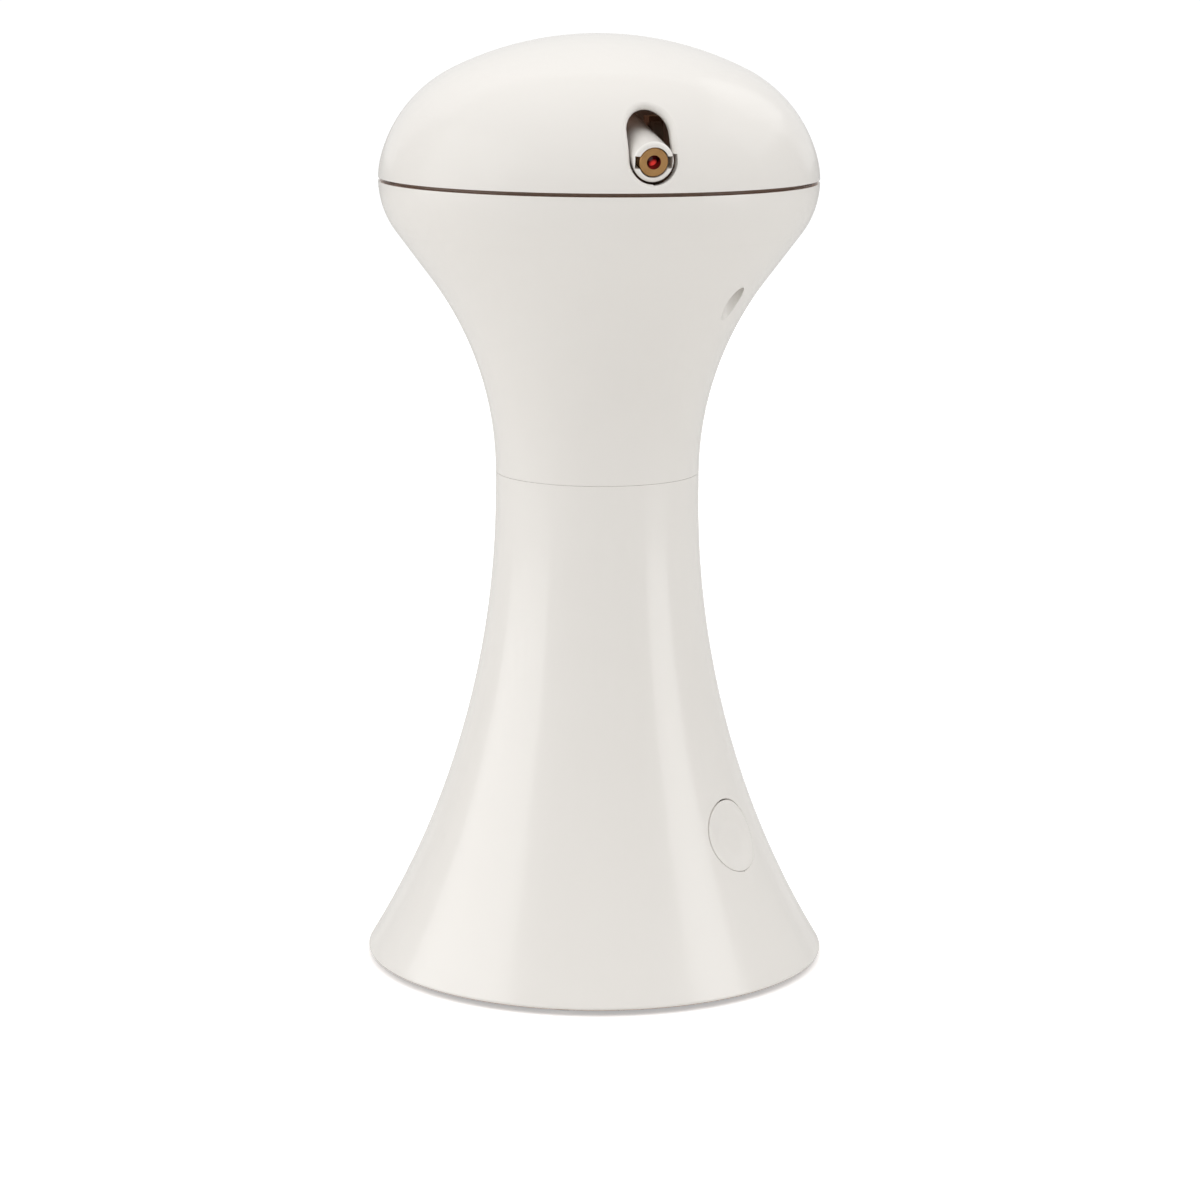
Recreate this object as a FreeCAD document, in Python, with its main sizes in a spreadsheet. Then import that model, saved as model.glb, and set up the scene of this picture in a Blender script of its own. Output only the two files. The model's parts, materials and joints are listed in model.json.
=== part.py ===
import FreeCAD, Part
import math
import os
import re
import Sketcher

# Automatic laser toy for cats: a flared tower with a turning dome that carries two tilting lasers.
# Millimetres. The origin is on the tower's axis at the floor, +Z is up and the power button faces -Y.

SIZES = {
    # Outer form, from the floor up
    "foot_gap": 1.2,
    "base_radius": 51.2,
    "flare_height": 103.3,
    "waist_radius": 22.35,
    "waist_band": 4.7,
    "bowl_height": 64.0,
    "bowl_straight": 12.5,
    "rim_radius": 47.85,
    "rim_roundness": 18.8,
    "shoulder_radius": 18.7,
    "shoulder_angle": 15.0,
    "haunch_radius": 29.6,
    "dome_height": 31.15,
    "dome_gap": 0.8,
    "wall": 2.2,
    "edge_round": 0.5,
    # Clearances
    "seat_gap": 0.3,
    "lap_gap": 0.1,
    "running_gap": 0.05,
    "press_gap": 0.02,
    "thrust_gap": 0.15,
    "overcut": 1.0,
    # Joint between the base shell and the upper shell
    "spigot_length": 6.0,
    "spigot_wall": 2.1,
    "waist_floor": 2.2,
    "waist_bore": 12.4,
    "waist_boss_radius": 2.8,
    "waist_boss_height": 11.0,
    "boss_bite": 1.0,
    # Screws
    "screw_radius": 1.1,
    "screw_head_radius": 2.1,
    "screw_head_height": 1.5,
    "screw_play": 0.25,
    "pilot_spare": 2.0,
    "boss_cap": 0.8,
    "post_wall": 1.4,
    "base_screw_length": 9.0,
    "waist_screw_length": 9.0,
    "box_screw_length": 3.4,
    "board_screw_length": 5.0,
    "dome_screw_reach": 8.0,
    "motor_screw_grip": 2.4,
    # Base plate, feet and battery door
    "plate_recess": 0.5,
    "plate_thickness": 2.8,
    "foot_radius": 4.3,
    "foot_inset": 8.0,
    "foot_recess": 0.6,
    "foot_bevel": 0.5,
    "boss_radius": 3.2,
    "boss_inset": 13.2,
    "boss_height": 18.0,
    "rib_thickness": 1.6,
    "door_radius": 20.5,
    "door_thickness": 2.2,
    "door_rim": 2.0,
    "lug_reach": 2.2,
    "lug_half_width": 4.0,
    "lug_height": 1.4,
    "door_twist": 40.0,
    "coin_slot_half_length": 9.0,
    "coin_slot_half_width": 0.9,
    "coin_slot_depth": 1.2,
    # Battery box and cells
    "cell_radius": 7.1,
    "cell_length": 49.2,
    "cell_nub_radius": 2.6,
    "cell_nub_height": 1.0,
    "cell_slack": 0.3,
    "cell_web": 0.4,
    "cell_bevel": 0.8,
    "box_wall": 1.3,
    "box_roof": 1.5,
    "box_skirt": 1.6,
    "box_flange": 4.7,
    "contact_height": 2.6,
    "contact_thickness": 0.4,
    "contact_width": 6.0,
    "tongue_start": 2.6,
    "tongue_end": 2.2,
    # Power button, its switch and the control board
    "button_height": 30.5,
    "button_radius": 8.0,
    "button_gap": 0.2,
    "button_flange": 1.6,
    "button_flange_thickness": 1.2,
    "button_stem_radius": 2.5,
    "board_room": 0.6,
    "switch_body_half": 3.1,
    "switch_body_height": 3.4,
    "switch_plunger_radius": 1.6,
    "switch_plunger_height": 1.6,
    "plunger_sink": 0.6,
    "switch_travel": 1.2,
    "board_thickness": 1.6,
    "board_half_width": 12.0,
    "board_half_height": 14.0,
    "board_hole_inset": 3.0,
    # Bowl: screw towers and the gear deck
    "tower_inset": 13.75,
    "tower_radius": 3.8,
    "well_radius": 2.4,
    "tower_roof": 3.0,
    "deck_thickness": 2.0,
    "deck_boss_height": 4.0,
    # Turning carrier, stacked down from the dome's seam
    "carrier_drop": 1.2,
    "carrier_thickness": 2.5,
    "carrier_inset": 2.6,
    "gear_ceiling": 1.3,
    "upper_gear_width": 3.0,
    "gear_space": 0.9,
    "lower_gear_width": 2.9,
    "gear_floor": 1.4,
    "spindle_radius": 4.0,
    "spindle_bore": 2.4,
    "spindle_collar": 1.5,
    "groove_depth": 0.8,
    "hub_wall": 2.0,
    "hub_height": 3.4,
    "hub_step": 2.4,
    "clip_thickness": 0.8,
    "clip_half_mouth": 2.7,
    "drum_radius": 5.4,
    "drum_height": 10.0,
    "drum_cap": 1.0,
    "ring_height": 2.0,
    "ring_depth": 0.4,
    "ring_spread": 2.0,
    "brush_half_thickness": 0.2,
    "brush_half_width": 0.7,
    "brush_tail": 0.4,
    "brush_post_reach": 4.4,
    "brush_post_depth": 3.2,
    "brush_post_half_width": 2.4,
    # Gear train
    "drive_teeth": 50,
    "idler_small_teeth": 16,
    "idler_large_teeth": 40,
    "pinion_teeth": 14,
    "drive_module": 0.7,
    "motor_module": 0.5,
    "tooth_play": 0.12,
    "pinion_overhang": 0.2,
    "axle_radius": 1.0,
    "motor_offset": 12.0,
    "motor_radius": 10.0,
    "motor_length": 24.0,
    "motor_bevel": 1.0,
    "motor_nose_radius": 3.0,
    "motor_nose_drop": 0.4,
    "shaft_depth": 5.5,
    "motor_screw_circle": 7.6,
    "motor_screw_radius": 0.8,
    "motor_head_radius": 1.6,
    "motor_head_height": 0.9,
    # Dome: bosses, lip and laser slots
    "dome_boss_inset": 9.85,
    "dome_boss_radius": 3.0,
    "lip_depth": 2.4,
    "lip_wall": 1.4,
    "lip_root": 1.2,
    "slot_azimuth": -43.4,
    "slot_half_width": 4.6,
    "slot_low": 2.1,
    "slot_high": 16.8,
    "slot_notch_width": 0.75,
    "slot_notch_top": 8.2,
    "slot_notch_drop": 0.2,
    "slot_round": 1.0,
    # Lasers
    "barrel_radius": 4.25,
    "barrel_inset": 0.25,
    "barrel_round": 0.8,
    "barrel_tail": 4.5,
    "pivot_reach": 26.0,
    "pivot_rise": 10.8,
    "barrel_dip": 11.0,
    "module_radius": 3.0,
    "module_gap": 0.2,
    "module_length": 14.0,
    "module_set_back": 0.25,
    "module_bevel": 0.15,
    "socket_step": 0.6,
    "aperture_radius": 1.45,
    "aperture_depth": 3.2,
    "lens_thickness": 1.0,
    "lens_edge": 0.5,
    "laser_board_half_width": 1.9,
    "laser_board_half_thickness": 0.4,
    "laser_board_length": 8.0,
    "key_height": 2.6,
    "key_depth": 0.75,
    "key_length": 4.0,
    "trunnion_radius": 1.2,
    "ear_gap": 0.35,
    "ear_thickness": 2.2,
    "ear_half_width": 2.9,
}

# Values worked out from the sizes
DERIVED = {
    "flare_top": "foot_gap + flare_height",
    "waist_seam": "flare_top + waist_band",
    "dome_seam": "waist_seam + bowl_height",
    "flare_radius": "((base_radius - waist_radius)^2 + flare_height^2) / (2 * (base_radius - waist_radius))",
    "flare_axis": "waist_radius + flare_radius",
    "half_lean": "(rim_radius - waist_radius) / (bowl_height + bowl_straight)",
    "lean_sine": "2 * half_lean / (1 + half_lean^2)",
    "lean_cosine": "(1 - half_lean^2) / (1 + half_lean^2)",
    "bowl_radius": "(bowl_height - bowl_straight * lean_cosine) / lean_sine - rim_roundness",
    "bowl_axis": "waist_radius + bowl_radius",
    "rim_axis": "rim_radius - rim_roundness",
    "rim_top": "dome_seam - dome_gap / 2",
    "dome_edge": "dome_seam + dome_gap / 2",
    "shoulder_axis": "rim_radius - shoulder_radius",
    "haunch_axis": "shoulder_axis + (shoulder_radius - haunch_radius) * cos(shoulder_angle)",
    "haunch_rise": "(shoulder_radius - haunch_radius) * sin(shoulder_angle)",
    "haunch_drop": "dome_height - haunch_rise",
    "crown_radius": "(haunch_axis^2 + haunch_drop^2 - haunch_radius^2) / (2 * (haunch_drop - haunch_radius))",
    "crown_sine": "(crown_radius - haunch_drop) / (crown_radius - haunch_radius)",
    "crown_cosine": "haunch_axis / (crown_radius - haunch_radius)",
    "dome_top": "dome_seam + dome_height",
    "spigot_radius": "waist_radius - wall - lap_gap",
    "spigot_low": "waist_seam - spigot_length",
    "waist_boss_circle": "spigot_radius - spigot_wall - waist_boss_radius + boss_bite",
    "screw_hole": "screw_radius + screw_play",
    "pilot_hole": "screw_radius + running_gap",
    "plate_low": "foot_gap + plate_recess",
    "plate_top": "plate_low + plate_thickness",
    "foot_circle": "base_radius - foot_inset",
    "foot_top": "plate_low + foot_recess",
    "boss_circle": "base_radius - boss_inset",
    "base_screw_low": "plate_low + screw_head_height + lap_gap",
    "cell_pitch": "cell_radius + cell_slack + cell_web / 2",
    "contact_room": "cell_pitch + contact_width / 2 + seat_gap",
    "box_half": "cell_pitch + cell_radius + cell_slack + box_wall",
    "box_corner": "cell_radius + cell_slack + box_wall",
    "cell_low": "plate_low + door_thickness + contact_height",
    "cell_top": "cell_low + cell_length + cell_nub_height",
    "box_top": "cell_top + contact_height",
    "contact_reach": "contact_height - contact_thickness / 2 - seat_gap",
    "lug_low": "plate_top + seat_gap",
    "lug_top": "lug_low + lug_height",
    "lug_radius": "door_radius + lug_reach",
    "box_ceiling": "lug_top + seat_gap",
    "box_mouth": "lug_radius + 2 * seat_gap",
    "box_skirt_radius": "box_mouth + box_skirt",
    "box_flange_top": "plate_top + box_roof",
    "box_screw_circle": "box_skirt_radius + screw_head_radius + seat_gap",
    "button_level": "foot_gap + button_height",
    "button_sine": "(flare_top - button_level) / flare_radius",
    "button_cosine": "sqrt(1 - button_sine^2)",
    "button_reach": "flare_axis - flare_radius * button_cosine",
    "board_reach": "button_reach - box_half - board_room - board_half_height * button_sine",
    "board_depth": "board_reach / button_cosine - board_thickness - screw_head_height",
    "button_depth": "board_depth - switch_body_height - switch_plunger_height",
    "plunger_end": "button_depth + switch_plunger_height + plunger_sink",
    "carrier_top": "dome_seam - carrier_drop",
    "carrier_low": "carrier_top - carrier_thickness",
    "carrier_radius": "rim_radius - wall - carrier_inset",
    "tower_circle": "rim_radius - tower_inset",
    "dome_boss_circle": "rim_radius - dome_boss_inset",
    "upper_gear_top": "carrier_low - gear_ceiling",
    "upper_gear_low": "upper_gear_top - upper_gear_width",
    "lower_gear_top": "upper_gear_low - gear_space",
    "lower_gear_low": "lower_gear_top - lower_gear_width",
    "deck_top": "lower_gear_low - gear_floor",
    "deck_low": "deck_top - deck_thickness",
    "hub_radius": "spindle_radius + running_gap + hub_wall",
    "hub_top": "carrier_top + hub_height",
    "clip_low": "hub_top + thrust_gap",
    "drum_low": "clip_low + clip_thickness + seat_gap",
    "drum_top": "drum_low + drum_height",
    "spindle_top": "drum_top - drum_cap",
    "brush_post_inner": "hub_radius + brush_post_reach",
    "brush_post_outer": "brush_post_inner + brush_post_depth",
    "motor_low": "deck_low - motor_length",
    "idler_reach": "drive_module * (drive_teeth + idler_small_teeth) / 2",
    "motor_mesh": "motor_module * (idler_large_teeth + pinion_teeth) / 2",
    "motor_across": "(idler_reach^2 + motor_offset^2 - motor_mesh^2) / (2 * idler_reach)",
    "motor_along": "sqrt(motor_offset^2 - motor_across^2)",
    "motor_side_across": "motor_screw_circle * motor_along / motor_offset",
    "motor_side_along": "-motor_screw_circle * motor_across / motor_offset",
    "bowl_lean": "lean_sine / lean_cosine",
    "bowl_bend_radius": "bowl_axis - (bowl_radius + wall) * lean_cosine",
    "bowl_bend_level": "waist_seam + (bowl_radius + wall) * lean_sine",
    "deck_radius": "bowl_bend_radius + (deck_low - bowl_bend_level) * bowl_lean - seat_gap",
    "lip_radius": "rim_radius - wall - seat_gap",
    "pivot_level": "dome_seam + pivot_rise",
    "ear_inner": "barrel_radius + ear_gap",
    "ear_outer": "ear_inner + ear_thickness",
    "barrel_length": "(rim_radius - barrel_inset - pivot_reach) / cos(barrel_dip)",
    "module_front": "barrel_length - module_set_back",
    "module_back": "module_front - module_length",
    "lens_radius": "aperture_radius - press_gap",
    "lens_bulge": "lens_thickness - lens_edge",
    "lens_round": "(lens_radius^2 + lens_bulge^2) / (2 * lens_bulge)",
    "ring_radius": "drum_radius - ring_depth",
    "lower_ring_level": "drum_low + drum_height / 2 - ring_spread",
    "upper_ring_level": "drum_low + drum_height / 2 + ring_spread",
}

PRESSURE_ANGLE = math.radians(20)
ADDENDUM = 0.9
DEDENDUM = 1.2
TOUCH = 0.01

BOSS_ANGLES = (65, 155, 245, 335)
FOOT_ANGLES = (-65, 25, 115, 205)
WAIST_ANGLES = (60, 180, 300)
TOWER_ANGLES = (0, 180)
LUG_ANGLES = (30, 150, 270)
BOX_SCREW_ANGLES = (0, 90, 180, 270)
DOME_BOSS_ANGLES = (45, 135, 225, 315)
LASER_TURNS = (0, 180)
CORNERS = ((-1, -1), (1, -1), (1, 1), (-1, 1))

Vector = FreeCAD.Vector
UP = Vector(0, 0, 1)
ACROSS = Vector(1, 0, 0)

doc = FreeCAD.newDocument("cat_laser_toy")
pieces = []


def fill_sheet(name, table, prefix=""):
    """Spreadsheet with one aliased cell for each value."""
    sheet = doc.addObject("Spreadsheet::Sheet", name)
    for row, (alias, content) in enumerate(table.items(), start=1):
        sheet.set(f"A{row}", alias)
        sheet.set(f"B{row}", f"{prefix}{content}")
        sheet.setAlias(f"B{row}", alias)
    return sheet


def bound(text):
    """Expression text with each value's name led by its sheet."""
    def lead(match):
        word = match.group()
        if word in SIZES:
            return "Sizes." + word
        if word in DERIVED:
            return "Derived." + word
        return word
    return re.sub(r"[a-z][a-z_]*", lead, text)


sizes = fill_sheet("Sizes", SIZES)
doc.recompute()
derived = fill_sheet("Derived", {name: bound(text) for name, text in DERIVED.items()}, "=")
doc.recompute()


def value(text):
    """Number that an expression gives."""
    return float(sizes.evalExpression(bound(text)))


# Sketches and features

def origin_plane(body, role):
    return next(feature for feature in body.Origin.OriginFeatures if feature.Role == role)


def arc_between(start, end, radius):
    """Arc of the smaller angle; its centre is left of the way from start to end for a positive radius."""
    chord = end - start
    left = Vector(-chord.y, chord.x, 0).normalize()
    rise = math.sqrt(max(radius * radius - chord.Length ** 2 / 4, 0))
    centre = (start + end) / 2 + left * math.copysign(rise, radius)
    first, last = (start, end) if radius > 0 else (end, start)
    angles = [math.atan2(point.y - centre.y, point.x - centre.x) for point in (first, last)]
    return Part.ArcOfCircle(Part.Circle(centre, UP, abs(radius)), *angles)


def draw(body, plane, corners, rounds=None, lift=None):
    """Closed sketch through the corners, with the sides named in rounds as arcs, all bound to the sheets."""
    rounds = rounds or {}
    sketch = body.newObject("Sketcher::SketchObject", body.Name + "_sketch")
    sketch.AttachmentSupport = [(origin_plane(body, plane), "")]
    sketch.MapMode = "FlatFace"
    if lift:
        sketch.setExpression("AttachmentOffset.Base.z", bound(lift))
    points = [Vector(value(across), value(up), 0) for across, up in corners]
    ends = []
    for side, start in enumerate(points):
        end = points[(side + 1) % len(points)]
        if side in rounds:
            radius = value(rounds[side])
            geometry = sketch.addGeometry(arc_between(start, end, radius))
            ends.append((geometry, 1, 2) if radius > 0 else (geometry, 2, 1))
        else:
            geometry = sketch.addGeometry(Part.LineSegment(start, end))
            ends.append((geometry, 1, 2))
    for side, (geometry, first, _) in enumerate(ends):
        before, _, last = ends[side - 1]
        sketch.addConstraint(Sketcher.Constraint("Coincident", before, last, geometry, first))
    for (geometry, first, _), point, texts in zip(ends, points, corners):
        for kind, number, text in (("DistanceX", point.x, texts[0]), ("DistanceY", point.y, texts[1])):
            index = sketch.addConstraint(Sketcher.Constraint(kind, geometry, first, number))
            if not text.lstrip("-").isdigit():
                sketch.setExpression(f"Constraints[{index}]", bound(text))
    for side, text in rounds.items():
        radius = abs(value(text))
        index = sketch.addConstraint(Sketcher.Constraint("Radius", ends[side][0], radius))
        sketch.setExpression(f"Constraints[{index}]", bound(f"abs({text})"))
    return sketch


def turned(name, corners, rounds=None):
    """Body turned about the vertical axis from an outline of radius and height."""
    body = doc.addObject("PartDesign::Body", name)
    sketch = draw(body, "XZ_Plane", corners, rounds)
    feature = body.newObject("PartDesign::Revolution", name + "_turn")
    feature.Profile = sketch
    feature.ReferenceAxis = (sketch, ["V_Axis"])
    feature.Angle = 360
    body.Tip = feature
    doc.recompute()
    return body


def padded(name, plane, corners, length, rounds=None, lift="0", middle=False):
    """Body padded from an outline, upwards from the lift or evenly to both sides."""
    body = doc.addObject("PartDesign::Body", name)
    sketch = draw(body, plane, corners, rounds, None if lift == "0" else lift)
    feature = body.newObject("PartDesign::Pad", name + "_pad")
    feature.Profile = sketch
    feature.setExpression("Length", bound(length))
    feature.Midplane = middle
    body.Tip = feature
    doc.recompute()
    return body


def rod(name, radius, low, high, across="0", along="0"):
    """Upright cylinder between two levels."""
    shape = doc.addObject("Part::Cylinder", name)
    shape.setExpression("Radius", bound(radius))
    shape.setExpression("Height", bound(f"({high}) - ({low})"))
    shape.setExpression("Placement.Base.x", bound(across))
    shape.setExpression("Placement.Base.y", bound(along))
    shape.setExpression("Placement.Base.z", bound(low))
    return shape


def block(name, low, high):
    """Box between two corners."""
    shape = doc.addObject("Part::Box", name)
    for side, axis, first, last in zip(("Length", "Width", "Height"), "xyz", low, high):
        shape.setExpression(side, bound(f"({last}) - ({first})"))
        shape.setExpression(f"Placement.Base.{axis}", bound(first))
    return shape


def joined(name, *parts):
    shape = doc.addObject("Part::MultiFuse", name)
    shape.Shapes = list(parts)
    return shape


def shared(name, first, second):
    shape = doc.addObject("Part::Common", name)
    shape.Base = first
    shape.Tool = second
    return shape


def cut(name, base, *tools):
    """Base with one tool after another cut away."""
    for number, tool in enumerate(tools, start=1):
        shape = doc.addObject("Part::Cut", name if number == len(tools) else f"{name}_step_{number}")
        shape.Base = base
        shape.Tool = tool
        base = shape
    return base


def solid_group(name, shapes):
    """Piece whose shape is set from ready solids."""
    feature = doc.addObject("Part::Feature", name)
    feature.Shape = shapes[0] if len(shapes) == 1 else Part.makeCompound(shapes)
    return feature


def solid_copy(name, source):
    """Piece with the same shape as a cutter that fits it."""
    doc.recompute()
    return solid_group(name, [source.Shape.copy()])


def turn(angle):
    """Placement turned about the tower's axis."""
    return FreeCAD.Placement(Vector(0, 0, 0), FreeCAD.Rotation(UP, angle))


def ring_of(name, master, angles):
    """Group of copies of the master's shape, turned about the tower's axis."""
    doc.recompute()
    copies = []
    for angle in angles:
        copy = master.Shape.copy()
        copy.Placement = turn(angle).multiply(copy.Placement)
        copies.append(copy)
    return solid_group(name, copies)


def keep(node, shape, placement=None):
    """Register a finished sub-part under its node's name."""
    if placement is not None:
        shape.Placement = placement.multiply(shape.Placement)
    shape.Label = node
    pieces.append(shape)
    return shape


# Forms of the three outer shells, at a depth below the outer surface

def flare_at(level, depth):
    """Radius of the base's flare at a level, as an expression."""
    return f"flare_axis - sqrt((flare_radius + {depth})^2 - (flare_top - ({level}))^2)"


def base_form(name, depth, low="foot_gap", high="waist_seam"):
    corners = [("0", low), (flare_at(low, depth), low), (f"waist_radius - ({depth})", "flare_top"),
               (f"waist_radius - ({depth})", high), ("0", high)]
    return turned(name, corners, {1: f"-(flare_radius + {depth})"})


def bowl_form(name, depth, low="waist_seam"):
    """Inside or outside of the bowl; low is where the flare begins."""
    start = f"bowl_axis - sqrt((bowl_radius + {depth})^2 - ({low} - waist_seam)^2)"
    bend = (f"bowl_axis - (bowl_radius + {depth}) * lean_cosine",
            f"waist_seam + (bowl_radius + {depth}) * lean_sine")
    shoulder = (f"rim_axis + (rim_roundness - {depth}) * lean_cosine",
                f"dome_seam - (rim_roundness - {depth}) * lean_sine")
    rim = (f"rim_axis + sqrt((rim_roundness - {depth})^2 - (dome_seam - rim_top)^2)", "rim_top")
    corners = [("0", low), (start, low), bend, shoulder, rim, ("0", "rim_top")]
    return turned(name, corners, {1: f"-(bowl_radius + {depth})", 3: f"rim_roundness - {depth}"})


def dome_form(name, depth):
    """Inside or outside of the dome, above its lower edge, as shoulder, haunch and crown."""
    shoulder = f"(shoulder_radius - {depth})"
    haunch = f"(haunch_radius - {depth})"
    edge = (f"shoulder_axis + sqrt({shoulder}^2 - (dome_edge - dome_seam)^2)", "dome_edge")
    bend = (f"shoulder_axis + {shoulder} * cos(shoulder_angle)",
            f"dome_seam + {shoulder} * sin(shoulder_angle)")
    crown = (f"haunch_axis + {haunch} * crown_cosine", f"dome_seam + haunch_rise + {haunch} * crown_sine")
    corners = [("0", "dome_edge"), edge, bend, crown, ("0", f"dome_top - {depth}")]
    return turned(name, corners, {1: shoulder, 2: haunch, 3: f"crown_radius - {depth}"})


def screw(name, low, shank, circle="0"):
    """Pan-head screw that points up, with its head's underside at the level low."""
    head = f"({low}) - screw_head_height"
    corners = [("0", head), ("screw_head_radius", head), ("screw_head_radius", low), ("screw_radius", low),
               ("screw_radius", f"({low}) + {shank}"), ("0", f"({low}) + {shank}")]
    body = turned(name, corners)
    body.Placement.Base = Vector(value(circle), 0, 0)
    return body


# Housing: base shell

def around(radius, angle):
    """Point on a circle; angle 0 faces -Y and angles grow towards +X."""
    return radius * math.sin(math.radians(angle)), -radius * math.cos(math.radians(angle))


button_tilt = 90 - math.degrees(math.asin(value("button_sine")))
button_place = FreeCAD.Placement(Vector(0, -value("button_reach"), value("button_level")),
                                 FreeCAD.Rotation(ACROSS, button_tilt))


def button_rod(name, radius, outer_depth, inner_depth, across=0.0, up=0.0):
    """Cylinder along the button's axis between two depths below the surface."""
    shape = doc.addObject("Part::Cylinder", name)
    shape.setExpression("Radius", bound(radius))
    shape.setExpression("Height", bound(f"({inner_depth}) - ({outer_depth})"))
    shape.Placement = button_place.multiply(FreeCAD.Placement(Vector(across, up, -value(inner_depth)),
                                                              FreeCAD.Rotation()))
    return shape


def rounded_edges(name, base, radius, picked):
    """Fillet on the edges that the test picks."""
    doc.recompute()
    shape = doc.addObject("Part::Fillet", name)
    shape.Base = base
    shape.Edges = [(number, radius, radius) for number, edge in enumerate(base.Shape.Edges, start=1)
                   if picked(edge)]
    return shape


def at_level(level, radius):
    """Test for a full circular edge at a level."""
    def picked(edge):
        box = edge.optimalBoundingBox()
        return max(abs(box.ZMin - level), abs(box.ZMax - level), abs(box.XMax - radius)) < TOUCH
    return picked


def board_corners():
    """Screw positions on the control board, across and up its face."""
    across = value("board_half_width - board_hole_inset")
    up = value("board_half_height - board_hole_inset")
    return [(side * across, rise * up) for side in (-1, 1) for rise in (-1, 1)]


def make_base_shell():
    outer = base_form("base_outer", "0")
    rounded = rounded_edges("base_outer_rounded", outer, value("edge_round"),
                            at_level(value("foot_gap"), value("base_radius")))
    hollow = cut("base_wall", rounded, base_form("base_inner", "wall"))
    inside = base_form("base_core", "wall / 2")
    floor = turned("waist_floor_ring", [
        ("waist_bore", "spigot_low - waist_floor"), ("waist_radius - wall / 2", "spigot_low - waist_floor"),
        ("waist_radius - wall / 2", "spigot_low"), ("waist_bore", "spigot_low")])
    boss_top = "plate_top + boss_height"
    boss = rod("boss_master", "boss_radius", "plate_top + running_gap", boss_top, "boss_circle")
    rib = block("rib_master", ("boss_circle", "-rib_thickness / 2", "plate_top + seat_gap"),
                ("base_radius", "rib_thickness / 2", boss_top))
    doc.recompute()
    bosses = ring_of("base_bosses", joined("boss_and_rib", boss, rib), [angle - 90 for angle in BOSS_ANGLES])
    posts = [button_rod(f"board_post_{number}", "screw_radius + post_wall", "wall / 2", "board_depth",
                        across, up) for number, (across, up) in enumerate(board_corners())]
    inner_parts = shared("base_inner_parts", joined("base_bosses_and_posts", bosses, *posts), inside)
    body = joined("base_body", hollow, floor, inner_parts)
    pilot = rod("pilot_master", "pilot_hole", "plate_top - overcut",
                "base_screw_low + base_screw_length + pilot_spare", "boss_circle")
    pilots = ring_of("base_pilots", pilot, [angle - 90 for angle in BOSS_ANGLES])
    hole = rod("waist_hole_master", "screw_hole", "spigot_low - waist_floor - overcut",
               "spigot_low + overcut", "waist_boss_circle")
    holes = ring_of("waist_holes", hole, WAIST_ANGLES)
    hole_end = "board_depth + board_thickness - board_screw_length - pilot_spare"
    post_holes = [button_rod(f"post_hole_{number}", "pilot_hole", hole_end, "board_depth + overcut",
                             across, up) for number, (across, up) in enumerate(board_corners())]
    opening = button_rod("button_opening", "button_radius + button_gap", "-button_radius", "button_depth")
    keep("base_shell", cut("base_shell_solid", body, pilots, holes, opening, *post_holes))


make_base_shell()


# Housing: upper shell with its spigot, waist bosses and screw towers

def make_upper_shell():
    outer = bowl_form("bowl_outer", "0")
    spigot = rod("spigot", "spigot_radius", "spigot_low", "waist_seam")
    inner = bowl_form("bowl_inner", "wall", "waist_seam + wall")
    bore = rod("spigot_inside", "spigot_radius - spigot_wall", "spigot_low - overcut",
               "waist_seam + wall + press_gap")
    hollow = cut("bowl_wall", joined("bowl_and_spigot", outer, spigot), inner, bore)
    boss = rod("waist_boss_master", "waist_boss_radius", "spigot_low", "spigot_low + waist_boss_height",
               "waist_boss_circle")
    bosses = ring_of("waist_bosses", boss, WAIST_ANGLES)
    tower = rod("tower_master", "tower_radius", "waist_seam", "deck_low", "tower_circle")
    towers = ring_of("towers", tower, [angle - 90 for angle in TOWER_ANGLES])
    body = joined("bowl_body", hollow, bosses, shared("towers_in_bowl", towers, bowl_form("bowl_core", "0")))
    pilot = rod("waist_pilot_master", "pilot_hole", "spigot_low - overcut",
                "spigot_low - waist_floor + waist_screw_length + pilot_spare", "waist_boss_circle")
    pilots = ring_of("waist_pilots", pilot, WAIST_ANGLES)
    well = rod("well_master", "well_radius", "waist_seam", "deck_low - tower_roof", "tower_circle")
    shaft = rod("well_shaft_master", "screw_hole", "waist_seam", "deck_low + overcut", "tower_circle")
    wells = ring_of("wells", joined("well_and_shaft", well, shaft), [angle - 90 for angle in TOWER_ANGLES])
    keep("upper_shell", cut("upper_shell_solid", body, pilots, wells))


make_upper_shell()


# Housing: base plate, feet, battery box and cells

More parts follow.
